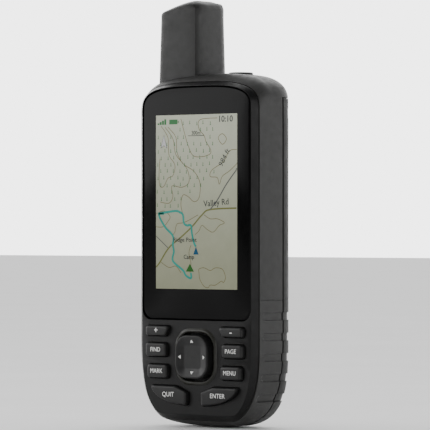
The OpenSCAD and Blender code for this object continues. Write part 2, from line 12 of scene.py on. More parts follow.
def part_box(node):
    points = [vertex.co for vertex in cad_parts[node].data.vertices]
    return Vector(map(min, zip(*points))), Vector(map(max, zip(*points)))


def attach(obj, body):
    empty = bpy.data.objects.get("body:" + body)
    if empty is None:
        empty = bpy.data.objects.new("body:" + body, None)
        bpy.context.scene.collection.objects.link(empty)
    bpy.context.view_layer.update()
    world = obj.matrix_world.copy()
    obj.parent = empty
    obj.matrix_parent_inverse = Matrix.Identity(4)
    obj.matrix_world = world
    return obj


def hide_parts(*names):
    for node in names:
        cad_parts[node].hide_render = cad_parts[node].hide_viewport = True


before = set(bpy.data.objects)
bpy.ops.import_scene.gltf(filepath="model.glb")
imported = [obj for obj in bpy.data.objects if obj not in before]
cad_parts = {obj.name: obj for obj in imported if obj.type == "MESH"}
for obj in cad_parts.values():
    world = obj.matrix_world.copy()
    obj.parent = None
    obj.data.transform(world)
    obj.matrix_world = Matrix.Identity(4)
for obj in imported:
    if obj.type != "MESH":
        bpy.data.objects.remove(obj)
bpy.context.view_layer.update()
MM = 0.001

# ---- main sizes in millimetres; y is counted back from the front face ----

LENS_LOW, LENS_HIGH = (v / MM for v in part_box("display_lens"))
ANT_LOW, ANT_HIGH = (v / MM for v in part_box("antenna_cover"))
FRONT = LENS_LOW.y - 0.2
HALF_W = (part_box("main_housing")[1] / MM).x
SPLIT_Z = (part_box("battery_door")[1] / MM).z
HOUSING_H = 134.4
BODY_D = 27.0
GROOVE_Y = 14.0
SEAL_Y = 2.4
WALL = 1.6
CLEAR = 40  # farther out than any surface, where a cutting tool ends


def at(x, y, z):
    """A point in metres from millimetres, with y counted back from the front face."""
    return Vector((x * MM, (y + FRONT) * MM, z * MM))


# ---- mesh helpers ----

def new_object(name, verts, faces):
    mesh = bpy.data.meshes.new(name)
    mesh.from_pydata([tuple(v) for v in verts], [], faces)
    obj = bpy.data.objects.new(name, mesh)
    bpy.context.scene.collection.objects.link(obj)
    return obj


def weld(bm):
    bmesh.ops.remove_doubles(bm, verts=bm.verts, dist=1e-7)
    bmesh.ops.recalc_face_normals(bm, faces=bm.faces)


def add_object(name, verts, faces, material, body, slot, smooth_angle=40):
    """A finished piece, with its material and body; the slot argument is not used."""
    obj = new_object(name, verts, faces)
    obj.data.validate()
    bm = bmesh.new()
    bm.from_mesh(obj.data)
    weld(bm)
    limit = math.radians(smooth_angle)
    for face in bm.faces:
        face.smooth = True
    for edge in bm.edges:
        edge.smooth = len(edge.link_faces) == 2 and edge.calc_face_angle(0) < limit
    bm.to_mesh(obj.data)
    bm.free()
    obj.data.materials.append(material)
    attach(obj, body)
    return obj


def raw_object(name, verts, faces):
    """A welded object with no looks yet, for blanks and cutting tools."""
    obj = new_object(name, verts, faces)
    bm = bmesh.new()
    bm.from_mesh(obj.data)
    weld(bm)
    bm.to_mesh(obj.data)
    bm.free()
    return obj


def loft(rings, close_start=False, close_end=False, loop=True):
    """Vertices and faces of a skin over rings that have the same number of points."""
    n = len(rings[0])
    verts = [p for ring in rings for p in ring]
    faces = []
    span = n if loop else n - 1
    for i in range(len(rings) - 1):
        for j in range(span):
            k = (j + 1) % n
            faces.append((i * n + j, i * n + k, (i + 1) * n + k, (i + 1) * n + j))
    if close_start:
        faces.append(tuple(range(n)))
    if close_end:
        faces.append(tuple(range((len(rings) - 1) * n, len(rings) * n)))
    return verts, faces


def joined(parts):
    verts, faces = [], []
    for v, f in parts:
        base = len(verts)
        verts.extend(v)
        faces.extend(tuple(i + base for i in face) for face in f)
    return verts, faces


def apply_modifier(obj, kind, **settings):
    mod = obj.modifiers.new(kind.title(), kind)
    for key, value in settings.items():
        setattr(mod, key, value)
    graph = bpy.context.evaluated_depsgraph_get()
    mesh = bpy.data.meshes.new_from_object(obj.evaluated_get(graph))
    old = obj.data
    obj.modifiers.clear()
    obj.data = mesh
    mesh.name = obj.name
    bpy.data.meshes.remove(old)
    return obj


def cut(obj, tools):
    """Takes the tool solids out of an object, then removes them."""
    for tool in tools:
        apply_modifier(obj, "BOOLEAN", operation="DIFFERENCE", object=tool, solver="EXACT")
        bpy.data.objects.remove(tool)
    return obj


def block(x0, x1, y0, y1, z0, z1):
    corners = [at(x, y, z) for z in (z0, z1) for y in (y0, y1) for x in (x0, x1)]
    faces = [(0, 1, 3, 2), (4, 6, 7, 5), (0, 4, 5, 1), (2, 3, 7, 6), (0, 2, 6, 4), (1, 5, 7, 3)]
    return corners, faces


# ---- outlines, as lists of (x, z) ----

def arc(x, z, r, a0, a1, n):
    return [(x + r * math.cos(math.radians(a0 + (a1 - a0) * i / n)),
             z + r * math.sin(math.radians(a0 + (a1 - a0) * i / n))) for i in range(n + 1)]


def power(value, exponent):
    return max(value, 0.0) ** exponent


def blunt_curve(w, z, h, n, angles):
    """Blunt quarter curve: at height z on the middle line, and at z + h out at the side."""
    turns = [math.radians(a) for a in angles]
    return [(w * power(math.cos(a), 2 / n), z + h * (1 - power(math.sin(a), 2 / n))) for a in turns]


def circle(x, z, r, y, count=64):
    """Ring of points that faces forward."""
    turns = [2 * math.pi * i / count for i in range(count)]
    return [at(x + r * math.cos(a), y, z + r * math.sin(a)) for a in turns]


def level_circle(x, y, r, z, count=64):
    turns = [2 * math.pi * i / count for i in range(count)]
    return [at(x + r * math.cos(a), y + r * math.sin(a), z) for a in turns]


def mirrored(half):
    return half + [(-x, z) for x, z in reversed(half) if x > 1e-6]


FOOT_ANGLES, TOP_ANGLES = range(90, -1, -3), range(0, 91, 3)


def frame_outline(grow):
    """Front frame, grown from its front edge: blunt foot with a flat land, arched top."""
    t = grow / 2.15
    w = 27.0 + grow
    land = 4.8 - 2.0 * t
    foot = [(x, 0.5 * (z + land + math.sqrt((z - land) ** 2 + 1.0)))
            for x, z in blunt_curve(w, 1.2 - 1.2 * t, 36.8 + 1.2 * t, 3.4 - 0.3 * t, FOOT_ANGLES)]
    return mirrored(foot + blunt_curve(w, 129.8 + 1.2 * t, -10 - 2 * t, 3.3 - 0.2 * t, TOP_ANGLES))


def lens_outline(grow=0.0):
    w = LENS_HIGH.x + grow
    z0, z1, r = LENS_LOW.z - grow, LENS_HIGH.z + grow, 4.4
    return mirrored([(0, z0)] + arc(w - r, z0 + r, r, -90, 0, 8)
                    + blunt_curve(w, z1, -9.6 - grow, 3.3, TOP_ANGLES))


def rounded_rect(w, h, r, n=6):
    return (arc(w / 2 - r, h / 2 - r, r, 0, 90, n) + arc(r - w / 2, h / 2 - r, r, 90, 180, n)
            + arc(r - w / 2, r - h / 2, r, 180, 270, n) + arc(w / 2 - r, r - h / 2, r, 270, 360, n))


def shifted(points, dx, dz):
    return [(x + dx, z + dz) for x, z in points]


def softened(points, r, n=4):
    """A convex outline with its corners rounded to radius r at most."""
    result = []
    count = len(points)
    for i in range(count):
        p0, p1, p2 = (Vector(points[(i + k) % count]) for k in (-1, 0, 1))
        e1, e2 = (p0 - p1), (p2 - p1)
        turn = math.pi - e1.angle(e2)
        if turn < math.radians(12):
            result.append(tuple(p1))
            continue
        reach = min(r * math.tan(turn / 2), e1.length * 0.45, e2.length * 0.45)
        a, b = p1 + e1.normalized() * reach, p1 + e2.normalized() * reach
        for k in range(n + 1):
            t = k / n
            result.append(tuple(a * (1 - t) ** 2 + p1 * 2 * t * (1 - t) + b * t * t))
    return result


def flat_rings(outline_at, stations):
    """Rings from an outline function of d, at (grow, y) stations."""
    return [[at(x, y, z) for x, z in outline_at(d)] for d, y in stations]


def pierced(outers, holes, y_back):
    """A solid whose side follows outers, as (outline, y), with holes right through it."""
    front, back = outers[0], outers[-1]
    n = len(front[0])
    verts, faces = loft([[at(x, y, z) for x, z in loop] for loop, y in outers])
    spots = []
    for hole in holes:
        spots.append((len(verts), len(hole)))
        verts += [at(x, front[1], z) for x, z in hole] + [at(x, y_back, z) for x, z in hole]
    index_front = list(range(n)) + [s + j for s, m in spots for j in range(m)]
    last = (len(outers) - 1) * n
    index_back = [last + j for j in range(n)] + [s + m + j for s, m in spots for j in range(m)]
    for loop, index in ((front[0], index_front), (back[0], index_back)):
        flat = [[Vector((x, z, 0)) for x, z in part] for part in [loop] + holes]
        faces += [tuple(index[i] for i in t) for t in tessellate_polygon(flat)]
    for s, m in spots:
        faces += [(s + j, s + (j + 1) % m, s + m + (j + 1) % m, s + m + j) for j in range(m)]
    return verts, faces


def plate_with_holes(outer, holes, y0, y1):
    """A flat plate between y0 and y1 with holes through it, as vertices and faces."""
    return pierced([(outer, y0), (outer, y1)], holes, y1)


# ---- materials ----

def new_material(name):
    mat = bpy.data.materials.new(name)
    mat.use_nodes = True
    nodes = mat.node_tree.nodes
    nodes.clear()
    out = nodes.new("ShaderNodeOutputMaterial")
    shader = nodes.new("ShaderNodeBsdfPrincipled")
    mat.node_tree.links.new(shader.outputs[0], out.inputs[0])
    return mat, mat.node_tree, shader


def noise(tree, scale, detail=3.0, rough=0.6):
    coord = tree.nodes.new("ShaderNodeTexCoord")
    node = tree.nodes.new("ShaderNodeTexNoise")
    node.inputs["Scale"].default_value = scale
    node.inputs["Detail"].default_value = detail
    node.inputs["Roughness"].default_value = rough
    tree.links.new(coord.outputs["Object"], node.inputs["Vector"])
    return node.outputs["Fac"]


def ramp(tree, factor, low, high, start=0.3, end=0.7):
    node = tree.nodes.new("ShaderNodeValToRGB")
    node.color_ramp.elements[0].position = start
    node.color_ramp.elements[1].position = end
    node.color_ramp.elements[0].color = (*low, 1)
    node.color_ramp.elements[1].color = (*high, 1)
    tree.links.new(factor, node.inputs[0])
    return node.outputs[0]


def spread(tree, factor, low, high, start=0.3, end=0.7):
    node = tree.nodes.new("ShaderNodeMapRange")
    node.inputs["From Min"].default_value = start
    node.inputs["From Max"].default_value = end
    node.inputs["To Min"].default_value = low
    node.inputs["To Max"].default_value = high
    tree.links.new(factor, node.inputs["Value"])
    return node.outputs[0]


def bumped(tree, shader, height, strength, distance):
    node = tree.nodes.new("ShaderNodeBump")
    node.inputs["Strength"].default_value = strength
    node.inputs["Distance"].default_value = distance
    tree.links.new(height, node.inputs["Height"])
    tree.links.new(node.outputs[0], shader.inputs["Normal"])


def multiplied(tree, first, second):
    node = tree.nodes.new("ShaderNodeMix")
    node.data_type, node.blend_type = "RGBA", "MULTIPLY"
    node.inputs["Factor"].default_value = 1
    tree.links.new(first, node.inputs["A"])
    tree.links.new(second, node.inputs["B"])
    return node.outputs["Result"]


def upward(tree, low, high):
    """0 to 1 between two heights in metres."""
    coord = tree.nodes.new("ShaderNodeTexCoord")
    split = tree.nodes.new("ShaderNodeSeparateXYZ")
    tree.links.new(coord.outputs["Object"], split.inputs[0])
    return spread(tree, split.outputs["Z"], 0, 1, low, high)


def tint(colour, factor):
    return tuple(min(c * factor, 1.0) for c in colour)


def surface(name, colour, roughness, grain=4000, bump=0.25, depth=0.00003, vary=0.12,
            rough_vary=0.08, metallic=0.0, specular=0.5, coat=0.0, wear=0.0):
    """A moulded, rubber or metal surface: mottled colour, fine grain, worn edges."""
    mat, tree, shader = new_material(name)
    broad = noise(tree, 90, 4)
    base = ramp(tree, broad, tint(colour, 1 - vary), tint(colour, 1 + vary))
    if wear:
        geo = tree.nodes.new("ShaderNodeNewGeometry")
        edge = spread(tree, geo.outputs["Pointiness"], 0.0, wear, 0.53, 0.62)
        mix = tree.nodes.new("ShaderNodeMix")
        mix.data_type = "RGBA"
        mix.inputs["B"].default_value = (*tint(colour, 2.2), 1)
        tree.links.new(edge, mix.inputs["Factor"])
        tree.links.new(base, mix.inputs["A"])
        base = mix.outputs["Result"]
    tree.links.new(base, shader.inputs["Base Color"])
    fine = noise(tree, grain, 2)
    rough = spread(tree, noise(tree, 400, 5), roughness - rough_vary, roughness + rough_vary)
    tree.links.new(rough, shader.inputs["Roughness"])
    bumped(tree, shader, fine, bump, depth)
    shader.inputs["Metallic"].default_value = metallic
    shader.inputs["Specular IOR Level"].default_value = specular
    shader.inputs["Coat Weight"].default_value = coat
    shader.inputs["Coat Roughness"].default_value = 0.08
    return mat


BODY = surface("body_plastic", (0.026, 0.026, 0.0252), 0.52, 5200, 0.55, vary=0.1, wear=0.25,
               specular=0.35)
DOOR = surface("door_plastic", (0.017, 0.017, 0.0165), 0.56, 5200, 0.55, vary=0.1, wear=0.2,
               specular=0.28)
ANTENNA = surface("antenna_plastic", (0.02, 0.02, 0.0194), 0.48, 5200, 0.45, vary=0.1, wear=0.2,
                  specular=0.3)
FRAME = surface("frame_plastic", (0.0045, 0.0045, 0.0045), 0.38, 4200, 0.22, vary=0.1, wear=0.2,
                specular=0.22)
KEYS = surface("key_rubber", (0.01, 0.01, 0.01), 0.42, 4600, 0.25, vary=0.1, wear=0.15,
               specular=0.3)
RING = surface("ring_plastic", (0.013, 0.013, 0.0095), 0.36, 4600, 0.2, vary=0.1, wear=0.2,
               specular=0.35)
CAP = surface("cap_rubber", (0.02, 0.02, 0.02), 0.62, 3600, 0.4, vary=0.15)
BLACK = surface("black_plastic", (0.012, 0.012, 0.012), 0.45, 3000, 0.2, vary=0.2)
FOAM = surface("gasket", (0.006, 0.006, 0.006), 0.85, 2600, 0.6, vary=0.2)
SEAL = surface("seal_rubber", (0.12, 0.03, 0.02), 0.55, 2600, 0.2, vary=0.15)
SILICONE = surface("silicone", (0.03, 0.03, 0.03), 0.6, 2600, 0.2, vary=0.12)
STEEL = surface("steel", (0.55, 0.56, 0.57), 0.3, 2400, 0.15, vary=0.08, metallic=1.0)
RING_METAL = surface("ring_metal", (0.05, 0.05, 0.052), 0.32, 3000, 0.12, vary=0.15,
                     metallic=0.6, wear=0.5)
COPPER = surface("copper", (0.62, 0.3, 0.16), 0.35, 2400, 0.1, vary=0.1, metallic=1.0)
BRASS = surface("gold_plate", (0.72, 0.52, 0.22), 0.25, 2400, 0.1, vary=0.08, metallic=1.0)
CERAMIC = surface("ceramic", (0.62, 0.6, 0.52), 0.6, 2400, 0.2, vary=0.06)
BOARD = surface("board", (0.015, 0.1, 0.04), 0.4, 1600, 0.3, vary=0.25)
FLEX = surface("flex", (0.5, 0.24, 0.04), 0.35, 1400, 0.1, vary=0.15)
DIFFUSER = surface("diffuser", (0.8, 0.8, 0.77), 0.5, 1500, 0.1, vary=0.04)
LED = surface("phosphor", (0.8, 0.7, 0.2), 0.5, 1500, 0.2, vary=0.1)
LEGEND = surface("legend_paint", (0.85, 0.85, 0.83), 0.5, 3000, 0.15, vary=0.05)
GLYPH = surface("glyph_paint", (0.3, 0.3, 0.295), 0.5, 3000, 0.15, vary=0.05)
LENS_BLACK = surface("lens_black", (0.0008, 0.0008, 0.0009), 0.1, 800, 0.02, vary=0.2,
                     rough_vary=0.02, specular=0.1)
TORCH = surface("torch_glass", (0.14, 0.145, 0.14), 0.12, 700, 0.3, vary=0.1, coat=0.6)


def cell_sleeve():
    """A printed sleeve: dark body, a pale band near one end, bare metal at the caps."""
    mat, tree, shader = new_material("cell_sleeve")
    bands = tree.nodes.new("ShaderNodeValToRGB")
    low, high = (v.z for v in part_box("battery_left"))
    tree.links.new(upward(tree, low, high), bands.inputs[0])
    bands.color_ramp.interpolation = "CONSTANT"
    bands.color_ramp.elements[0].color = (0.5, 0.5, 0.5, 1)
    bands.color_ramp.elements[1].position = 0.955
    bands.color_ramp.elements[1].color = (0.5, 0.5, 0.5, 1)
    for where, colour in ((0.02, (0.012, 0.04, 0.12)), (0.7, (0.35, 0.36, 0.36)),
                          (0.74, (0.012, 0.04, 0.12))):
        bands.color_ramp.elements.new(where).color = (*colour, 1)
    mottle = ramp(tree, noise(tree, 200), (0.85, 0.85, 0.85), (1, 1, 1))
    tree.links.new(multiplied(tree, bands.outputs[0], mottle), shader.inputs["Base Color"])
    tree.links.new(spread(tree, noise(tree, 500), 0.2, 0.34), shader.inputs["Roughness"])
    bumped(tree, shader, noise(tree, 1500), 0.1, 0.00002)
    shader.inputs["Metallic"].default_value = 0.4
    return mat


CELL = cell_sleeve()

# finishes for the CAD nodes that stay in view or inside
KEPT = {
    "lens_gasket": FOAM, "lcd_panel": BLACK, "backlight_plate": DIFFUSER, "display_bracket": STEEL,
    "display_flex": FLEX, "keypad_mat": SILICONE, "dome_switches": STEEL, "rocker_core": SILICONE,
    "main_board": BOARD, "processor_shield": STEEL, "receiver_shield": STEEL,
    "pressure_sensor": STEEL, "beeper": BLACK, "memory_card_socket": STEEL, "memory_card": BLACK,
    "housing_screws": STEEL, "power_switch": BLACK, "antenna_core": CERAMIC,
    "antenna_helix": COPPER, "antenna_lead": BLACK, "usb_socket": STEEL, "antenna_jack": BRASS,
    "torch_led": LED, "battery_left": CELL, "battery_right": CELL, "contact_plates": STEEL,
    "contact_springs": STEEL, "door_seal": SEAL, "latch_cam": STEEL, "latch_screw": STEEL,
}


def finish_kept_nodes():
    for name, mat in KEPT.items():
        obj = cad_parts[name]
        for slot in obj.material_slots:
            slot.material = mat


# ---- the body's outer form ----

RIB_PITCH, RIB_LOW, RIB_COUNT, RIB_HALF, RIB_DEPTH = 7.7, 11.7, 5, 1.45, 0.5
RIB_FRONT, RIB_BACK = 4.0, 24.8
SEAM_Z = 48.6
CURVED_END = 9.5
BACK_Y, BACK_N = GROOVE_Y + 0.1, 2.3


def half_width(y):
    if y < GROOVE_Y - 0.3:
        t = (y - SEAL_Y) / (GROOVE_Y - 0.3 - SEAL_Y)
        return 29.2 + (HALF_W - 29.2) * (1 - (1 - t) ** 1.25)
    if y < BACK_Y:
        return HALF_W
    return 3 + (HALF_W - 3) * power(1 - power((y - BACK_Y) / (BODY_D - BACK_Y), BACK_N), 1 / BACK_N)


def low_edge(y):
    if y < 9:
        return 2.8 * (max(9 - y, 0) / 7.0) ** 1.7
    return 8 - math.sqrt(max(64 - max(y - 19, 0) ** 2, 0))


def high_edge(y):
    if y < 9:
        return HOUSING_H - 3.5 * (max(9 - y, 0) / 7.0) ** 2.0
    return HOUSING_H - 6 + math.sqrt(max(36 - max(y - 21, 0) ** 2, 0))


def soft_max(a, b, k=1.0):
    return 0.5 * (a + b + math.sqrt((a - b) ** 2 + k * k))


def foot_height(w):
    return max(6.0, 38 * (w / HALF_W) ** 2)


def side_zs():
    """Heights of the rows of points up the side: close together at each rib's edges."""
    zs = []
    for i in range(RIB_COUNT):
        mid = RIB_LOW + i * RIB_PITCH
        for d in (0.03, -0.1):
            zs += [mid - RIB_HALF - d, mid + RIB_HALF + d]
        zs += [mid - 0.9, mid - 0.3, mid + 0.3, mid + 0.9, mid + 2.4, mid + 3.8, mid + 5.2]
    zs += [SEAM_Z + d for d in (-0.16, -0.07, 0.0, 0.07, 0.16)]
    zs += [54, 62, 72, 84, 96, 108, 115]
    return sorted(z for z in zs if z > CURVED_END)


SIDE_ZS = side_zs()


def shoulder(y):
    """Height and exponent of the shoulder's curve at depth y."""
    t = min(max((y - SEAL_Y) / 7.0, 0.0), 1.0)
    shrink = min(1.0, 0.25 + 0.75 * half_width(y) / HALF_W) if y > GROOVE_Y else 1.0
    return (12 + t) * shrink, 3.1 - 0.25 * t


def half_outline(y):
    """Right half of the body's outline at depth y, from the middle of the foot to the top."""
    w, low, high = half_width(y), low_edge(y), high_edge(y)
    h = foot_height(w)
    base = low if y > 19 else 0.0
    n = 3.1
    points = []
    t_end = min(max(1 - (CURVED_END - base) / h, 0.0), 1.0)
    a_end = math.degrees(math.asin(min(power(t_end, n / 2), 1.0)))
    for i in range(15):
        a = math.radians(90 - (90 - a_end) * i / 14)
        z = base + h * (1 - power(math.sin(a), 2 / n))
        points.append((w * power(math.cos(a), 2 / n), z if y > 19 else soft_max(z, low, 0.9)))
    for z in SIDE_ZS:
        t = max(1 - (z - base) / h, 0.0)
        points.append((w * power(1 - power(t, n), 1 / n), z))
    drop, n = shoulder(y)
    return points + blunt_curve(w, high, -drop, n, range(5, 91, 5))


def rib_depth(y, z):
    """How far the surface sinks at a rib or at the seam."""
    seam = 0.16 if abs(z - SEAM_Z) < 0.09 and y > 2.9 else 0.0
    i = round((z - RIB_LOW) / RIB_PITCH)
    if not 0 <= i < RIB_COUNT:
        return seam
    dz = z - (RIB_LOW + i * RIB_PITCH)
    front, back = RIB_FRONT + RIB_HALF, RIB_BACK - RIB_HALF
    dy = max(front - y, 0, y - back)
    inside = RIB_HALF - math.hypot(dy, dz)
    return RIB_DEPTH * min(max(inside / 0.12 + 0.2, 0.0), 1.0)


def plan_normal(y):
    step = 0.05
    dx = half_width(min(y + step, 26.99)) - half_width(y - step)
    n = Vector((2 * step, -dx))
    return n.normalized()


def body_ring(y):
    """One ring of the body's skin, with the ribs sunk along the surface's own normal."""
    nx, ny = plan_normal(y)
    right = []
    for x, z in half_outline(y):
        d = rib_depth(y, z) if x > 6 else 0.0
        right.append((x - d * nx, y - d * ny, z))
    left = [(-x, yy, z) for x, yy, z in reversed(right) if x > 1e-6]
    return [at(*p) for p in right + left]


def stations(*spans):
    result = []
    for start, end, count in spans:
        result += [start + (end - start) * i / count for i in range(count)]
    return result + [spans[-1][1]]


BACK_STATIONS = [14.5, 14.8] + stations((15, 22.4, 10), (22.6, 25, 12), (25.2, 26.6, 7)) + [
    26.8, 26.92, 26.98, 26.999]


def housing_shell():
    """Main housing: side walls forward of the groove, and the whole top block."""
    ys = stations((SEAL_Y, 3.8, 6), (3.9, 5.9, 11), (6.2, 13.4, 9)) + [13.65, 13.75] + BACK_STATIONS
    verts, faces = loft([body_ring(y) for y in ys], close_end=True)
    obj = raw_object("main_housing_shell", verts, faces)
    bm = bmesh.new()
    bm.from_mesh(obj.data)
    cut_z = (SPLIT_Z + 0.3) * MM
    bmesh.ops.bisect_plane(bm, geom=bm.verts[:] + bm.edges[:] + bm.faces[:],
                           plane_co=(0, 0, cut_z), plane_no=(0, 0, 1))
    limit = at(0, GROOVE_Y - 0.15, 0).y
    gone = [f for f in bm.faces
            if f.calc_center_median().z < cut_z and f.calc_center_median().y > limit]
    bmesh.ops.delete(bm, geom=gone, context="FACES")
    bm.to_mesh(obj.data)
    bm.free()
    return apply_modifier(obj, "SOLIDIFY", thickness=WALL * MM, offset=-1, use_even_offset=False)


def door_shell():
    verts, faces = loft([body_ring(y) for y in BACK_STATIONS], close_end=True)
    obj = raw_object("battery_door_shell", verts, faces)
    bm = bmesh.new()
    bm.from_mesh(obj.data)
    bmesh.ops.bisect_plane(bm, geom=bm.verts[:] + bm.edges[:] + bm.faces[:],
                           plane_co=(0, 0, SPLIT_Z * MM), plane_no=(0, 0, 1), clear_outer=True)
    bm.to_mesh(obj.data)
    bm.free()
    return apply_modifier(obj, "SOLIDIFY", thickness=WALL * MM, offset=-1, use_even_offset=False)


def surface_y(x, z):
    """Depth of the body's back at a place, found by halving."""
    near, distant = BACK_Y, BODY_D
    for _ in range(30):
        mid = (near + distant) / 2
        w, high = half_width(mid), high_edge(mid)
        drop, n = shoulder(mid)
        inside = abs(x) < w
        if inside and z > 110:
            inside = z < high - drop * (1 - power(1 - power(abs(x) / w, n), 1 / n))
        if inside:
            near = mid
        else:
            distant = mid
    return near


# ---- main housing and door pieces ----

def cylinder_tool(x, z, r, y0, y1):
    return raw_object("tool", *loft([circle(x, z, r, y) for y in (y0, y1)], True, True))


def upright_tool(x, y, r, z0, z1):
    return raw_object("tool", *loft([level_circle(x, y, r, z) for z in (z0, z1)], True, True))


def block_tool(*sides):
    return raw_object("tool", *block(*sides))


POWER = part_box("power_button")
POWER_X = (POWER[0].x + POWER[1].x) / 2 / MM
POWER_Y = (POWER[0].y + POWER[1].y) / 2 / MM - FRONT
POWER_R = (POWER[1].x - POWER[0].x) / 2 / MM - 0.7
TORCH_LOW, TORCH_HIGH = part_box("torch_lens")
TORCH_X, PORT_Z = (TORCH_LOW.x + TORCH_HIGH.x) / 2 / MM, (TORCH_LOW.z + TORCH_HIGH.z) / 2 / MM
JACK_LOW, JACK_HIGH = (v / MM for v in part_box("antenna_jack"))
JACK_MID = (JACK_LOW.x + JACK_HIGH.x) / 2
# openings for the sockets as (x0, x1, z0, z1), then the recesses and the flaps over them
USB_MOUTH = (4.0, 12.0, 127.1, 130.0)
JACK_MOUTH = (JACK_MID - 2.25, JACK_MID + 2.25, PORT_Z - 2.25, PORT_Z + 2.25)
RECESS_LOW, RECESS_HIGH, RECESS_DEPTH = 125.9, 130.9, 1.4
FLAP_LOW, FLAP_HIGH = 126.15, 130.65
FOLLOW_Z = 129.6  # flaps and recesses follow the back up to here, and go straight up above it


def antenna_outline(grow=0.0):
    """Plan of the antenna as (x, y): round at the back, a crease at the front right."""
    x0, x1 = ANT_LOW.x - grow, ANT_HIGH.x + grow
    y0, y1 = ANT_LOW.y - FRONT - grow, ANT_HIGH.y - FRONT + grow
    front = [(x0 + 4 + (x1 - x0 - 5.9) * t, y0 + 0.5 * t ** 2) for t in
             (0.12 * i for i in range(1, 9))]
    crease = [(x1 - 1.35, y0 + 0.6), (x1 - 0.9, y0 + 1.3), (x1 - 0.5, y0 + 2.8), (x1 - 0.15, y0 + 5)]
    side = [(x1, y0 + 8), (x1, y0 + 11)]
    return (arc(x0 + 4, y0 + 4, 4, 180, 270, 8) + front + crease + side
            + arc(x1 - 7, y1 - 7, 7, 0, 90, 12) + arc(x0 + 7, y1 - 7, 7, 90, 180, 12)
            + [(x0, y1 - 9), (x0, y0 + 8)])


def recess_tool(x0, x1, x_deep):
    """Tool for a flap's recess, whose floor is RECESS_DEPTH under the back at x_deep."""
    floor = surface_y(x_deep, FOLLOW_Z) - RECESS_DEPTH
    return block_tool(x0, x1, floor, CLEAR, RECESS_LOW, RECESS_HIGH)


def main_housing():
    shell = housing_shell()
    foot = [[at(x, y, z) for x, y in antenna_outline(0.12)] for z in (129.85, 150)]
    tools = [raw_object("tool", *loft(foot, True, True)),
             upright_tool(POWER_X, POWER_Y, POWER_R + 0.18, 129, 140),
             cylinder_tool(TORCH_X, PORT_Z, 1.9, 20, CLEAR),
             recess_tool(2.0, 14.2, 14), recess_tool(14.8, 21.4, 21),
             block_tool(*USB_MOUTH[:2], 18, CLEAR, *USB_MOUTH[2:]),
             block_tool(*JACK_MOUTH[:2], 18, CLEAR, *JACK_MOUTH[2:])]
    cut(shell, tools)
    floor_parts = [
        # pocket floors behind the port flaps, with mouths for the sockets
        port_floor(1.6, 14.6, *USB_MOUTH, 1.6),
        port_floor(14.4, 21.8, *JACK_MOUTH, 1.7),
        block(-27, 27, 9.6, 24.5, SPLIT_Z + 0.35, SPLIT_Z + 1.35),
        battery_wall(),
        seam_lip(),
        block(-15.8, 15.8, 9.7, 19, 52.6, 54.0), block(-15.8, 15.8, 9.7, 19, 108.0, 109.4),
    ]
    walls = raw_object("main_housing_floors", *joined(floor_parts))
    trim_to_body(walls)
    return join_pieces("main_housing_skin", [shell, walls], BODY, "device", "body_plastic")


def battery_wall():
    """Wall between the board and the cells, with ways through for screws and the memory card."""
    outline = mirrored([p for p in half_outline(9.3) if p[1] < 127])
    holes = [arc(x, z, 2.25, 0, 345, 23) for x, z in
             ((-20, 124.2), (20, 124.2), (-22.4, 44.3), (22.4, 44.3), (0, 6.9))]
    holes.append([(8.5, 67), (21.5, 67), (21.5, 88), (8.5, 88)])
    return plate_with_holes(resized(outline, -1.2), holes, 8.8, 9.8)


def seam_lip():
    """Lip inside the seam, so that no light goes through between the housing and the door."""
    outline = mirrored([p for p in half_outline(13.6) if p[1] < SPLIT_Z])
    return plate_with_holes(resized(outline, -3.1), [resized(outline, -3.9)], 9.6, 15.0)


def port_floor(x0, x1, hx0, hx1, hz0, hz1, deep):
    """A thin wall that follows the back, sunk by deep, with one hole in it."""
    xs = [x0, hx0, hx1, x1]
    zs = [125.6, hz0, hz1, 131.2]
    verts, faces = [], []
    for layer in (0, 0.35):
        for z in zs:
            for x in xs:
                verts.append(at(x, surface_y(x, min(z, 129.5)) - deep - layer, z))
    for i in range(3):
        for j in range(3):
            if i == 1 and j == 1:
                continue
            a = i * 4 + j
            faces.append((a, a + 1, a + 5, a + 4))
            faces.append((a + 16, a + 20, a + 21, a + 17))
    hole = [5, 6, 10, 9]
    rim = [0, 1, 2, 3, 7, 11, 15, 14, 13, 12, 8, 4]
    for loop in (hole, rim):
        for i in range(len(loop)):
            a, b = loop[i], loop[(i + 1) % len(loop)]
            faces.append((a, b, b + 16, a + 16))
    return verts, faces


def trim_to_body(obj):
    """Keeps a piece within the body's width, so that no wall pokes through its sides."""
    for v in obj.data.vertices:
        y = v.co.y / MM - FRONT
        w = half_width(min(max(y, SEAL_Y), 26.9)) - 1.2
        v.co.x = min(max(v.co.x, -w * MM), w * MM)


def join_pieces(name, objs, material, body, slot, smooth_angle=40):
    parts = []
    for obj in objs:
        verts = [v.co.copy() for v in obj.data.vertices]
        parts.append((verts, [tuple(p.vertices) for p in obj.data.polygons]))
        bpy.data.objects.remove(obj)
    return add_object(name, *joined(parts), material, body, slot, smooth_angle)


# ---- camera, lights and floor ----

def set_camera():
    data = bpy.data.cameras.new("photo_camera")
    data.lens, data.sensor_width = 277.6, 36
    data.shift_x, data.shift_y = 0.0445, 0.0326
    cam = bpy.data.objects.new("photo_camera", data)
    bpy.context.scene.collection.objects.link(cam)
    az, height, reach = math.radians(40.2), 0.0753, 1.255
    cam.location = (math.sin(az) * reach, FRONT * MM - math.cos(az) * reach, height)
    cam.rotation_euler = (math.radians(90), 0, az)
    bpy.context.scene.camera = cam


def area_light(name, place, target, width, height, watts):
    data = bpy.data.lights.new(name, "AREA")
    data.shape, data.size, data.size_y, data.energy = "RECTANGLE", width, height, watts
    obj = bpy.data.objects.new(name, data)
    bpy.context.scene.collection.objects.link(obj)
    obj.location = place
    obj.rotation_euler = (Vector(target) - Vector(place)).to_track_quat("-Z", "Y").to_euler()


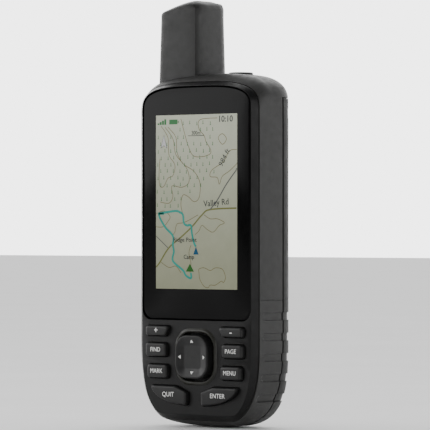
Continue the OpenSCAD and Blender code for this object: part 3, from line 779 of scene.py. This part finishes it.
def set_stage():
    mat, tree, shader = new_material("floor_paper")
    tree.links.new(ramp(tree, noise(tree, 12), (0.9, 0.9, 0.9), (0.94, 0.94, 0.94)),
                   shader.inputs["Base Color"])
    shader.inputs["Roughness"].default_value = 0.9
    verts = [Vector((x, y, 0)) for x, y in ((-6, -6), (6, -6), (6, 6), (-6, 6))]
    floor = raw_object("studio_floor", verts, [(0, 1, 2, 3)])
    floor.data.materials.append(mat)
    world = bpy.data.worlds.new("studio")
    world.use_nodes = True
    sky = world.node_tree
    coord = sky.nodes.new("ShaderNodeTexCoord")
    facing = sky.nodes.new("ShaderNodeVectorMath")
    facing.operation = "DOT_PRODUCT"
    facing.inputs[1].default_value = (-0.645, 0.764, -0.25)
    sky.links.new(coord.outputs["Generated"], facing.inputs[0])
    glow = spread(sky, facing.outputs["Value"], 0.26, 4.2, -0.2, 0.95)
    sky.links.new(glow, sky.nodes["Background"].inputs[1])
    sky.nodes["Background"].inputs[0].default_value = (1, 1, 1, 1)
    bpy.context.scene.world = world
    middle = (0, 0, 0.08)
    area_light("left_card", (-0.72, -0.62, 0.36), middle, 0.6, 0.5, 3.2)
    area_light("front_box", (0.8, -0.85, 0.3), middle, 0.5, 0.6, 2.4)
    area_light("right_box", (1.15, 0.55, 0.24), middle, 0.6, 0.6, 3.8)


# ---- front frame, lens and keys ----

ROCKER_Z = 26.9
WEDGE = [(12.0, 38.5), (13.9, 34.5), (24.0, 34.5), (24.0, 38.5)]
UPPER = [(13.6, 26.6), (24.0, 26.6), (24.0, 32.0), (13.6, 32.0)]
LOWER = [(13.0, 18.4), (23.2, 18.4), (23.2, 23.8), (13.0, 23.8)]


def foot_key_outline():
    bottom = [(3.5 + 17.7 * math.cos(math.radians(a)), 15.8 - 7.4 * math.sin(math.radians(a)))
              for a in range(75, -1, -5)]
    return [(3.5, 8.3)] + bottom + [(9.2, 15.8), (3.4, 13.6)]


KEY_SHAPES = {
    "plus": (-1, WEDGE, 1.0), "find": (-1, UPPER, 1.1), "mark": (-1, LOWER, 1.1),
    "quit": (-1, foot_key_outline(), 1.0), "minus": (1, WEDGE, 1.0), "page": (1, UPPER, 1.1),
    "menu": (1, LOWER, 1.1), "enter": (1, foot_key_outline(), 1.0),
}


def resized(points, d):
    """An outline moved outward by about d, without crossing itself at sharp corners."""
    xs, zs = [p[0] for p in points], [p[1] for p in points]
    mx, mz = (min(xs) + max(xs)) / 2, (min(zs) + max(zs)) / 2
    kx, kz = 1 + 2 * d / (max(xs) - min(xs)), 1 + 2 * d / (max(zs) - min(zs))
    return [(mx + (x - mx) * kx, mz + (z - mz) * kz) for x, z in points]


def sided(points, side):
    return points if side > 0 else [(-x, z) for x, z in reversed(points)]


def front_frame():
    holes = [lens_outline(0.12)]
    for side, shape, radius in KEY_SHAPES.values():
        holes.append(resized(softened(sided(shape, side), radius, 5), 0.22))
    holes.append(shifted(rounded_rect(19.3, 20.1, 6.6, 8), 0, ROCKER_Z))
    steps = [(-0.12, 0.0), (-0.02, 0.05), (0.1, 0.16)]
    steps += [(0.1 + 1.9 * t, 0.16 + 1.62 * t) for t in (0.25, 0.5, 0.75, 1.0)]
    steps += [(2.1, 1.88), (2.15, 2.02), (2.1, 2.1)]
    outers = [(frame_outline(grow), y) for grow, y in steps]
    obj = add_object("front_frame", *pierced(outers, holes, 2.1), FRAME, "device",
                     "frame_plastic", 28)
    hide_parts("front_housing")


def lens():
    rings = flat_rings(lens_outline, [(0, 1.4), (0, 0.75), (-0.06, 0.62), (-0.5, 0.28),
                                      (-0.62, 0.215), (-0.75, 0.2)])
    obj = add_object("lens", *loft(rings, True, True), LENS_BLACK, "device", "lens_glass", 20)
    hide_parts("display_lens")


def keys():
    for name, (side, shape, radius) in KEY_SHAPES.items():
        outline = sided(shape, side)
        steps = [(0.0, 3.4), (0.0, 0.1), (-0.22, -1.3), (-0.38, -1.62), (-0.66, -1.77), (-1.1, -1.8)]
        outline = softened(outline, radius, 5)
        rings = flat_rings(lambda d: resized(outline, d), steps)
        obj = add_object("key_%s_cap" % name, *loft(rings, True, True), KEYS, name + "_key",
                         "key_rubber", 50)
        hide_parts("key_" + name)


def rocker():
    def ring_at(w, h, r, y):
        return [at(x, y, z) for x, z in shifted(rounded_rect(w, h, r, 8), 0, ROCKER_Z)]

    ring = [ring_at(*step) for step in (
        (17.8, 18.6, 6, 2.8), (17.8, 18.6, 6, -0.35), (18.3, 19.1, 6.2, -0.56),
        (18.8, 19.6, 6.4, -0.62), (19.6, 20.4, 6.8, -0.5), (20.7, 21.5, 7.2, 0.0),
        (19.1, 19.9, 6.5, 0.06), (19.1, 19.9, 6.5, 2.8))]
    verts, faces = loft(ring)
    n = len(ring[0])
    last = (len(ring) - 1) * n
    faces += [(last + j, last + (j + 1) % n, (j + 1) % n, j) for j in range(n)]
    obj = add_object("rocker_bezel", verts, faces, RING, "device", "ring_plastic", 40)
    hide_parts("rocker_ring")
    pad = [ring_at(*step) for step in (
        (16.2, 16.6, 5.4, 1.2), (16.2, 16.6, 5.4, -1.9), (16.0, 16.4, 5.3, -2.5),
        (15.5, 15.9, 5.1, -2.9), (14.9, 15.3, 4.9, -3.0), (14.2, 14.6, 4.6, -2.93))]
    pad += [ring_at(14.2 - 6.0 * t, 14.6 - 5.8 * t, 4.6 - 3.6 * t, -2.93 + 0.83 * t)
            for t in (0.25, 0.5, 0.75, 1.0)]
    pad += [ring_at(7.9, 8.5, 0.9, -2.1)]
    obj = add_object("rocker_top", *loft(pad, True, True), KEYS, "rocker", "key_rubber", 32)
    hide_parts("rocker_pad")


# ---- antenna ----

def antenna():
    base = antenna_outline()
    mid_x, mid_y = (ANT_LOW.x + ANT_HIGH.x) / 2, (ANT_LOW.y + ANT_HIGH.y) / 2 - FRONT
    top_z = ANT_HIGH.z
    rings = []
    for z in (129.9, 131, 134, 138, 143, 148, 153, 156):
        s = 0.7 * (z - 129.9) / 30
        fx, fy = 1 - 2 * s / 21, 1 - 2 * s / 21.6
        rings.append([at(mid_x + (x - mid_x) * fx, mid_y + (y - mid_y) * fy, z) for x, y in base])
    last = [(p.x / MM, p.y / MM - FRONT) for p in rings[-1]]

    def crown(x, y):
        """Height of the sloping top over a place."""
        t = min(max((x - ANT_LOW.x) / (ANT_HIGH.x - ANT_LOW.x), 0), 1)
        depth = min(max((y - (ANT_LOW.y - FRONT)) / 21.6, 0), 1)
        front = 157.0 + 4.8 * t ** 0.9
        crest = 158.9 + 4.1 * math.sin(math.pi * min(t / 0.9, 1) * 0.5)
        rise = min(depth / 0.3, 1.0)
        level = front + (crest - front) * math.sin(rise * math.pi / 2)
        return level - 1.6 * max(depth - 0.45, 0) ** 1.5

    for inset, share in ((0.0, 0.55), (0.12, 0.8), (0.5, 0.95), (1.0, 1.0), (2.2, 1.02), (4.2, 1.03),
                         (6.6, 1.03), (8.6, 1.03)):
        ring = []
        for x, y in last:
            d = math.hypot(x - mid_x, y - mid_y)
            k = max(1 - inset / d, 0.02)
            px, py = mid_x + (x - mid_x) * k, mid_y + (y - mid_y) * k
            right = max((px - mid_x) / 10.5, 0)
            back = max((py - mid_y) / 10.8, 0)
            edge = 3.0 * max(right, back) ** 4 * (1 if inset < 3 else 0.4)
            z = 156 + (min(crown(px, py), top_z) - 156 - edge * (1 if inset else 0)) * min(share, 1)
            ring.append(at(px, py, z))
        rings.append(ring)
    obj = add_object("antenna_shell", *loft(rings, True, True), ANTENNA, "device",
                     "antenna_plastic", 30)
    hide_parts("antenna_cover")


# ---- back, ports, latch and ring ----

LATCH_Z = 18
RING_Y, RING_Z, RING_REACH = 26.0, 22, 7.4

def door():
    shell = door_shell()
    dish = [circle(0, LATCH_Z, r, y) for r, y in ((9.7, 23.7), (9.9, 23.9), (9.9, CLEAR))]
    tools = [raw_object("tool", *loft(dish, True, True)),
             block_tool(28.0, CLEAR, 18.6, 21.4, 117.2, 120.8),
             block_tool(-CLEAR, -28.0, 18.6, 21.4, 117.2, 120.8)]
    cut(shell, tools)
    plate = [circle(0, LATCH_Z, r, y) for r, y in (
        (10.6, 22.6), (10.6, 26.0), (9.91, 26.0), (9.91, 23.69), (4.1, 23.69), (4.1, 22.6))]
    verts, faces = loft(plate + plate[:1])
    dish_floor = raw_object("dish_floor", verts, faces)
    rail = raw_object("rail", *spine_rail())
    obj = join_pieces("battery_door_skin", [shell, dish_floor, rail], DOOR, "door", "body_plastic")
    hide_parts("battery_door")


def spine_rail():
    """Rail for a clip: a wide head on a narrow neck."""
    outline = [(3.25, 25.5), (3.25, 29.3), (5.5, 29.3), (5.9, 29.7), (5.9, 31.6), (5.5, 32.0)]
    outline = outline + [(-x, y) for x, y in reversed(outline)]
    rings = []
    for z, shrink in ((44, 0.5), (44.5, 0.0), (91.5, 0.0), (92, 0.5)):
        rings.append([at(x - math.copysign(shrink, x), min(y, 32 - shrink), z) for x, y in outline])
    return loft(rings, True, True)


def power_key():
    def disc(r, z):
        return level_circle(POWER_X, POWER_Y, r, z)

    top = POWER[1].z / MM
    rings = [disc(POWER_R, 130.8), disc(POWER_R, top - 0.5), disc(POWER_R - 0.12, top - 0.16),
             disc(POWER_R - 0.45, top), disc(POWER_R - 1.4, top - 0.08), disc(1.0, top - 0.2)]
    obj = add_object("power_key_cap", *loft(rings, True, True), CAP, "power_key", "key_rubber", 50)
    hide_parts("power_button")
    glyph = [[at(POWER_X + r * math.cos(math.radians(a)), POWER_Y + r * math.sin(math.radians(a)),
                 top - 0.05 + lift) for a in range(130, 411, 10)]
             for r, lift in ((1.5, -0.1), (1.5, 0.0), (1.95, 0.0), (1.95, -0.1))]
    parts = [loft(glyph + glyph[:1], loop=False),
             block(POWER_X - 0.2, POWER_X + 0.2, POWER_Y + 0.6, POWER_Y + 2.2, top - 0.15, top - 0.03)]
    add_object("power_glyph", *joined(parts), GLYPH, "power_key", "key_rubber")


def port_flap(name, x0, x1, body, node):
    """A thin flap that follows the back of the body, with a pull lip on its lower edge."""
    outline = shifted(rounded_rect(x1 - x0, FLAP_HIGH - FLAP_LOW, 0.9, 5), (x0 + x1) / 2,
                      (FLAP_LOW + FLAP_HIGH) / 2)
    rings = []
    for d, deep in ((0.0, 1.0), (0.0, 0.2), (-0.08, 0.06), (-0.3, 0.0), (-0.8, 0.0), (-1.5, 0.0),
                    (-2.1, 0.0)):
        rings.append([at(x, surface_y(x, min(z, FOLLOW_Z)) - deep - 0.02, z)
                      for x, z in resized(outline, d)])
    lip = [(x0 + x1) / 2 - 1.6, (x0 + x1) / 2 + 1.6]
    depth = surface_y(lip[0], 127)
    parts = [loft(rings, True, True),
             block(lip[0], lip[1], depth - 0.6, min(depth + 0.35, 27.35), 126.5, 127.1)]
    obj = add_object(name, *joined(parts), CAP, body, "cap_rubber", 35)
    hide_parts(node)


def socket_insides():
    """Dark inner walls and the contact tongue of the USB socket, and the jack's insulator."""
    low, high = (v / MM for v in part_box("usb_socket"))
    x, mouth = (low.x + high.x) / 2, high.y - FRONT
    parts = [block(x - 3.4, x + 3.4, mouth - 3.08, mouth - 2.8, PORT_Z - 0.93, PORT_Z + 0.93),
             block(x - 2.4, x + 2.4, mouth - 2.9, mouth - 0.7, PORT_Z - 0.35, PORT_Z + 0.2)]
    add_object("usb_tongue", *joined(parts), BLACK, "device", "black_plastic")
    end = JACK_HIGH.y - FRONT
    rings = [circle(JACK_MID, PORT_Z, 1.66, y, 32) for y in (end - 3.55, end - 2.6)]
    add_object("jack_insulator", *loft(rings, True, True), BLACK, "device", "black_plastic")


def torch():
    rings = [circle(TORCH_X, PORT_Z, r, BODY_D - deep, 48) for r, deep in (
        (1.8, 1.7), (1.8, 0.35), (1.7, 0.2), (1.4, 0.12), (0.9, 0.05), (0.4, 0.02))]
    obj = add_object("torch_window", *loft(rings, True, True), TORCH, "device", "torch_glass", 50)
    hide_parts("torch_lens")


def wire(path, radius, sides=20):
    """A round wire along a closed path that lies square to Y."""
    turns = [2 * math.pi * k / sides for k in range(sides)]
    rings = []
    for i, point in enumerate(path):
        ahead = (path[(i + 1) % len(path)] - path[i - 1]).normalized()
        side = Vector((0, 1, 0))
        other = ahead.cross(side).normalized()
        rings.append([point + (side * math.cos(a) + other * math.sin(a)) * radius * MM for a in turns])
    return loft(rings + rings[:1])


def latch_and_ring():
    def disc(r, y):
        return circle(0, LATCH_Z, r, y)

    rings = [disc(3.9, 21.6), disc(3.9, 23.72), disc(9.3, 23.74), disc(9.4, 23.85), disc(9.4, 24.6),
             disc(9.25, 24.8), disc(8.9, 24.9), disc(7.9, 24.9), disc(7.6, 24.75), disc(3.4, 24.75)]
    lug_top = (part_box("latch")[1] / MM).y - FRONT
    outline = [(24.7, 20.3), (lug_top - 1.2, 20.3), (lug_top - 0.3, 20.7), (lug_top, 21.5),
               (lug_top, 22.5), (lug_top - 0.3, 23.3), (lug_top - 1.2, 23.7), (24.7, 23.7)]
    lug = [[at(x, y, z) for y, z in outline] for x in (-3, -2.8, 2.8, 3)]
    turns = [2 * math.pi * i / 32 for i in range(32)]
    bore = [[at(x, RING_Y + 1.06 * math.cos(a), RING_Z + 1.06 * math.sin(a)) for a in turns]
            for x in (-5, 5)]
    lug_obj = raw_object("lug", *loft(lug, True, True))
    cut(lug_obj, [raw_object("tool", *loft(bore, True, True))])
    disc_obj = raw_object("disc", *loft(rings, True, True))
    obj = join_pieces("latch_knob", [disc_obj, lug_obj], CAP, "latch", "body_plastic")
    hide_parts("latch")
    path = [at(x, RING_Y, z) for x, z in arc(0, RING_Z, RING_REACH, 180, 360, 30)]
    path += [at(RING_REACH - 2 * RING_REACH * i / 12, RING_Y, RING_Z) for i in range(1, 12)]
    obj = add_object("ring_wire", *wire(path, 1.0), RING_METAL, "ring", "ring_metal", 50)
    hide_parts("d_ring")


def seal_band():
    outer, inner = frame_outline(1.35), frame_outline(-0.6)
    obj = add_object("frame_seal", *plate_with_holes(outer, [inner], 2.08, 2.5), FOAM, "device",
                     "seal_rubber")
    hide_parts("housing_seal")


# ---- display and legends ----

VIEW_HALF, VIEW_LOW, VIEW_HIGH = 20.1, 52.55, 118.65
INLAY = 0.008


def display_panel():
    mat, tree, shader = new_material("display_sheet")
    # painted shading: the sheet's colour is lighter towards the top and darker towards the bottom
    height = upward(tree, VIEW_LOW * MM, VIEW_HIGH * MM)
    base = ramp(tree, height, (0.2, 0.205, 0.14), (0.345, 0.36, 0.28), 0.0, 1.0)
    mottle = ramp(tree, noise(tree, 160), (0.93, 0.94, 0.93), (1, 1, 1))
    colour = multiplied(tree, base, mottle)
    # painted glow: the sheet also emits its own painted colour, as painted light
    for socket in ("Base Color", "Emission Color"):
        tree.links.new(colour, shader.inputs[socket])
    shader.inputs["Emission Strength"].default_value = 0.35
    tree.links.new(spread(tree, noise(tree, 900), 0.1, 0.16), shader.inputs["Roughness"])
    bumped(tree, shader, noise(tree, 1500), 0.04, 0.00001)
    shader.inputs["Specular IOR Level"].default_value = 0.2
    outline = [(-VIEW_HALF, VIEW_LOW), (VIEW_HALF, VIEW_LOW), (VIEW_HALF, VIEW_HIGH),
               (-VIEW_HALF, VIEW_HIGH)]
    add_object("display_sheet", *plate_with_holes(outline, [], 0.19, 0.199), mat, "device",
               "display")


def ink(name, colour, glow=0.12):
    mat = surface("ink_" + name, colour, 0.2, 2000, 0.05, vary=0.08, rough_vary=0.03, specular=0.2)
    shader = next(n for n in mat.node_tree.nodes if n.type == "BSDF_PRINCIPLED")
    shader.inputs["Emission Color"].default_value = (*colour, 1)
    shader.inputs["Emission Strength"].default_value = glow
    return mat


def on_map(right, down):
    """(x, z) of a place on the map, in millimetres from the display's upper left corner."""
    return right - VIEW_HALF, VIEW_HIGH - down


def curved(points, closed=False, n=5):
    """A smooth line through all the points."""
    count = len(points)
    result = []
    for i in range(count if closed else count - 1):
        def pick(k):
            return Vector(points[k % count] if closed else points[min(max(k, 0), count - 1)])
        p0, p1, p2, p3 = pick(i - 1), pick(i), pick(i + 1), pick(i + 2)
        for j in range(n):
            t = j / n
            result.append(0.5 * (2 * p1 + (p2 - p0) * t + (2 * p0 - 5 * p1 + 4 * p2 - p3) * t * t
                                 + (3 * p1 - p0 - 3 * p2 + p3) * t ** 3))
    if not closed:
        result.append(Vector(points[-1]))
    return result


def ribbon(points, width, y, closed=False):
    """A thin flat line along points given as (x, z), its face at depth y."""
    rings = []
    n = len(points)
    for i, p in enumerate(points):
        before = points[i - 1] if (i or closed) else p
        after = points[(i + 1) % n] if (i < n - 1 or closed) else p
        along = (after - before).normalized()
        side = Vector((-along.y, along.x)) * width / 2
        a, b = p + side, p - side
        rings.append([at(a.x, y, a.y), at(b.x, y, b.y), at(b.x, y + INLAY, b.y),
                      at(a.x, y + INLAY, a.y)])
    if closed:
        return loft(rings + rings[:1])
    return loft(rings, True, True)


def map_line(points, width, y, closed=False, smooth=True):
    placed = [Vector(on_map(*p)) for p in points]
    limit = VIEW_HALF - width / 2
    if smooth:
        placed = curved(placed, closed)
    for p in placed:
        p.x = min(max(p.x, -limit), limit)
        p.y = min(max(p.y, VIEW_LOW + width / 2), VIEW_HIGH - width / 2)
    return ribbon(placed, width, y, closed)


def map_patch(points, y):
    return plate_with_holes([on_map(*p) for p in points], [], y, y + INLAY)


def text_mesh(words, size, x, z, y, angle=0.0, squeeze=1.0, bold=0.0):
    """Lettering that faces forward, centred on (x, z), as vertices and faces."""
    curve = bpy.data.curves.new("words", "FONT")
    curve.body, curve.size = words, size * MM
    curve.align_x, curve.align_y = "CENTER", "CENTER"
    curve.extrude, curve.offset, curve.resolution_u = INLAY * MM / 2, bold * MM, 3
    obj = bpy.data.objects.new("words", curve)
    bpy.context.scene.collection.objects.link(obj)
    bpy.context.view_layer.update()
    mesh = bpy.data.meshes.new_from_object(obj.evaluated_get(bpy.context.evaluated_depsgraph_get()))
    turn = Matrix.Rotation(math.radians(angle), 3, "Y")
    verts = []
    for v in mesh.vertices:
        p = turn @ Vector((v.co.x * squeeze, -v.co.z, v.co.y))
        verts.append(p + at(x, y + INLAY / 2, z))
    faces = [tuple(f.vertices) for f in mesh.polygons]
    bpy.data.objects.remove(obj)
    bpy.data.curves.remove(curve)
    bpy.data.meshes.remove(mesh)
    return verts, faces


# the map's lines as (right, down), rounded to half millimetres; a place past the edge moves onto it
MAP_EDGE = 40.5
CONTOURS = [
    [(6, 4.5), (10, 8.5), (10.5, 14), (13.5, 18.5), (19, 21.5), (22, 26), (21.5, 31.5), (19, 33),
     (16, 31), (13.5, 30.5), (12.5, 34), (13.5, 38)],
    [(12.5, 1.5), (14.5, 7.5), (16, 11.5), (18.5, 15.5), (23, 16), (27, 15), (27, 13), (25, 10.5),
     (24, 8), (21.5, 5.5), (22, 2), (30.5, 1.5)],
    [(MAP_EDGE, 13.5), (36.5, 14), (33.5, 18), (28, 21), (27, 23.5), (30.5, 24), (31.5, 26.5),
     (33, 23.5), (36.5, 21.5), (MAP_EDGE, 18.5)],
    [(2.5, 4), (6, 8.5), (6.5, 15), (9.5, 19), (8.5, 23), (6, 24), (4, 27), (2, 27), (1.5, 23),
     (2, 16.5)],
    [(4.5, 4.5), (8.5, 9), (10, 15), (15.5, 20.5), (16.5, 25.5), (13, 27.5), (8, 27), (8.5, 31),
     (6.5, 33.5), (2, 33)],
    [(24, 38), (27, 39.5), (30.5, 39.5), (34, 41), (31.5, 42), (28.5, 44.5), (25.5, 43.5), (23, 42),
     (21.5, 44), (19.5, 45.5)],
    [(21, 38), (16.5, 40), (13.5, 41), (10.5, 41.5), (9.5, 44.5), (8.5, 45.5)],
    [(2.5, 56), (6.5, 58), (10, 57.5), (12.5, 60)],
    [(0, 42.5), (3.5, 42.5), (6, 40.5), (7, 38.5), (4, 36.5), (0, 37.5)],
    [(17, 60), (17.5, 56.5), (16.5, 52.5), (17.5, 49.5)],
]
RINGS = [
    [(31, 9), (33, 7.5), (35, 9.5), (33, 11.5)],
    [(21.5, 58.5), (24, 58), (27, 59), (29.5, 58), (33, 58.5), (34.5, 61.5), (33.5, 63.5), (32.5, 63),
     (29.5, 64.5), (27, 64.5), (26, 65.5), (24, 65), (22, 62.5), (21.5, 60)],
]
TRACK_WEST = [(4, 37.5), (1.5, 38), (4.5, 42.5), (8.5, 46), (8.5, 49.5), (9, 52), (8.5, 55.5),
              (13.5, 59), (15, 61), (17.5, 62), (17.5, 60)]
TRACK_EAST = [(1, 37.5), (9.5, 36.5), (12, 37), (13.5, 38), (14, 41), (15.5, 42), (17.5, 42),
              (18, 45), (19, 48.5), (20, 50)]
LANE = [(MAP_EDGE, 35.5), (27, 36), (23, 38), (18, 42.5), (12.5, 46.5), (6.5, 50.5), (2, 56),
        (0, 58)]
ROAD = [(MAP_EDGE, 20.5), (35, 26.5), (30.5, 32.5), (27, 36)]
SIDE_ROAD = [(0, 46), (6, 50.5)]
ARROW = [(4, 7.5), (5.5, 12.5), (4, 11.5), (2.5, 12.5)]
# lettering as (words, right, down, size, angle, squeeze, bold)
MAP_WORDS = (
    ("10:10", 34.5, 2, 3.3, 0, 1.0, 0.05), ("300m", 20, 7, 2.1, 0, 0.95, 0.01),
    ("984 ft", 34, 16.5, 3.3, -58, 0.95, 0.0), ("Valley Rd", 30, 33.5, 3.3, -4, 1.0, 0.02),
    ("Ridge Point", 14.5, 47.5, 2.3, 0, 1.1, 0.02), ("Camp", 16.5, 54, 2.3, 0, 0.95, 0.02),
)


def marker(right, down, half, tall):
    """A small triangle with its tip at a place on the map."""
    return map_patch([(right, down), (right + half, down + tall), (right - half, down + tall)], 0.13)


def bar(left, right, top, bottom):
    return map_patch([(left, bottom), (right, bottom), (right, top), (left, top)], 0.13)


def map_ticks(y):
    rng = random.Random(7)
    parts = []
    for row in range(13):
        for col in range(9):
            u = 1 + col * 3.25 + (1.6 if row % 2 else 0) + rng.uniform(-0.4, 0.4)
            v = 3.1 + row * 2.6 + rng.uniform(-0.3, 0.3)
            # the woods end on a slant and stay clear of the bars, the scale and the south
            if u > 30.5 - max(v - 21, 0) * 1.4 or (u < 11.5 and v < 5.7) or (v > 29 and u > 13.5):
                continue
            if 14 < u < 25 and 5.7 < v < 9.1:
                continue
            x, z = on_map(u, v)
            parts.append(ribbon([Vector((x, z - 0.6)), Vector((x, z + 0.6))], 0.24, y))
            parts.append(ribbon([Vector((x - 0.3, z - 0.62)), Vector((x + 0.3, z - 0.62))], 0.2, y))
    return parts


def map_inlays():
    groups = {
        "contours": ((0.13, 0.105, 0.04), [map_line(c, 0.24, 0.18) for c in CONTOURS]
                     + [map_line(c, 0.24, 0.18, True) for c in RINGS]),
        "woods": ((0.035, 0.13, 0.045), map_ticks(0.17)),
        "lanes": ((0.125, 0.13, 0.042), [map_line(LANE, 0.62, 0.16)]),
        "roads": ((0.09, 0.09, 0.085), [map_line(ROAD, 0.5, 0.15), map_line(SIDE_ROAD, 0.35, 0.15)]),
        "track": ((0.02, 0.23, 0.185), [map_line(TRACK_WEST, 0.85, 0.14),
                                        map_line(TRACK_EAST, 0.85, 0.14)]),
        "boat": ((0.008, 0.06, 0.12), [marker(20, 50, 1.3, 3)]),
        "tent": ((0.012, 0.09, 0.008), [marker(17, 56.5, 2, 3)]),
        "bars": ((0.02, 0.13, 0.035), [bar(0.8 + 1.15 * i, 1.7 + 1.15 * i, 3 - 0.5 * i, 3.6)
                                       for i in range(4)]
                 + [bar(6.7, 10.8, 1.7, 3.5), bar(11, 11.4, 2.2, 3)]),
        "words": ((0.03, 0.032, 0.035), [map_line([(16, 8), (24, 8)], 0.22, 0.12, smooth=False)]
                  + [text_mesh(words, size, *on_map(right, down), 0.12, angle, squeeze, bold)
                     for words, right, down, size, angle, squeeze, bold in MAP_WORDS]),
        "arrow": ((0.42, 0.42, 0.42), [map_patch(ARROW, 0.13)]),
        "arrow_edge": ((0.05, 0.05, 0.055), [map_line(ARROW, 0.2, 0.125, True, False)]),
    }
    for name, (colour, parts) in groups.items():
        add_object("map_" + name, *joined(parts), ink(name, colour), "device", "display")


def legends():
    face = -1.81
    labels = {"plus_key": ("+", -18.5, 36.6, 3.6, 1.0), "minus_key": ("-", 18.5, 36.6, 3.6, 1.3),
              "find_key": ("FIND", -18.8, 29.3, 2.4, 0.95), "page_key": ("PAGE", 18.4, 29.3, 2.4, 0.95),
              "mark_key": ("MARK", -18.3, 21.15, 2.4, 0.95),
              "menu_key": ("MENU", 17.9, 21.15, 2.4, 0.95),
              "quit_key": ("QUIT", -12.4, 12.4, 2.5, 1.0), "enter_key": ("ENTER", 12.0, 12.4, 2.5, 0.98)}
    for body, (words, x, z, size, squeeze) in labels.items():
        add_object("legend_" + body, *text_mesh(words, size, x, z, face, 0, squeeze, 0.0), LEGEND,
                   body, "key_rubber")
    arrows = []
    for turn in range(4):
        a = math.radians(90 * turn)
        reach_y = 6.0
        tri = [(-0.75, reach_y - 0.55), (0.75, reach_y - 0.55), (0, reach_y + 0.55)]
        loop = []
        for x, z in tri:
            px, pz = x * math.cos(a) - z * math.sin(a), x * math.sin(a) + z * math.cos(a)
            reach = max(abs(px) / 4.1, abs(pz) / 4.3)
            depth = -2.1 - 0.83 * min(max(reach - 1, 0) / 0.72, 1)
            loop.append((px, pz + ROCKER_Z, depth))
        verts = [at(x, y - 0.03, z) for x, z, y in loop] + [at(x, y + 0.1, z) for x, z, y in loop]
        arrows.append((verts, [(0, 1, 2), (5, 4, 3), (0, 3, 4, 1), (1, 4, 5, 2), (2, 5, 3, 0)]))
    add_object("rocker_arrows", *joined(arrows), LEGEND, "rocker", "key_rubber")


def build():
    finish_kept_nodes()
    housing = main_housing()
    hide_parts("main_housing")
    door()
    front_frame()
    lens()
    display_panel()
    map_inlays()
    keys()
    rocker()
    legends()
    antenna()
    seal_band()
    power_key()
    port_flap("usb_flap_cover", 2.2, 13.8, "usb_flap", "usb_cap")
    port_flap("jack_flap_cover", 15.2, 21.0, "jack_flap", "antenna_jack_cap")
    socket_insides()
    torch()
    latch_and_ring()
    set_stage()
    set_camera()


build()
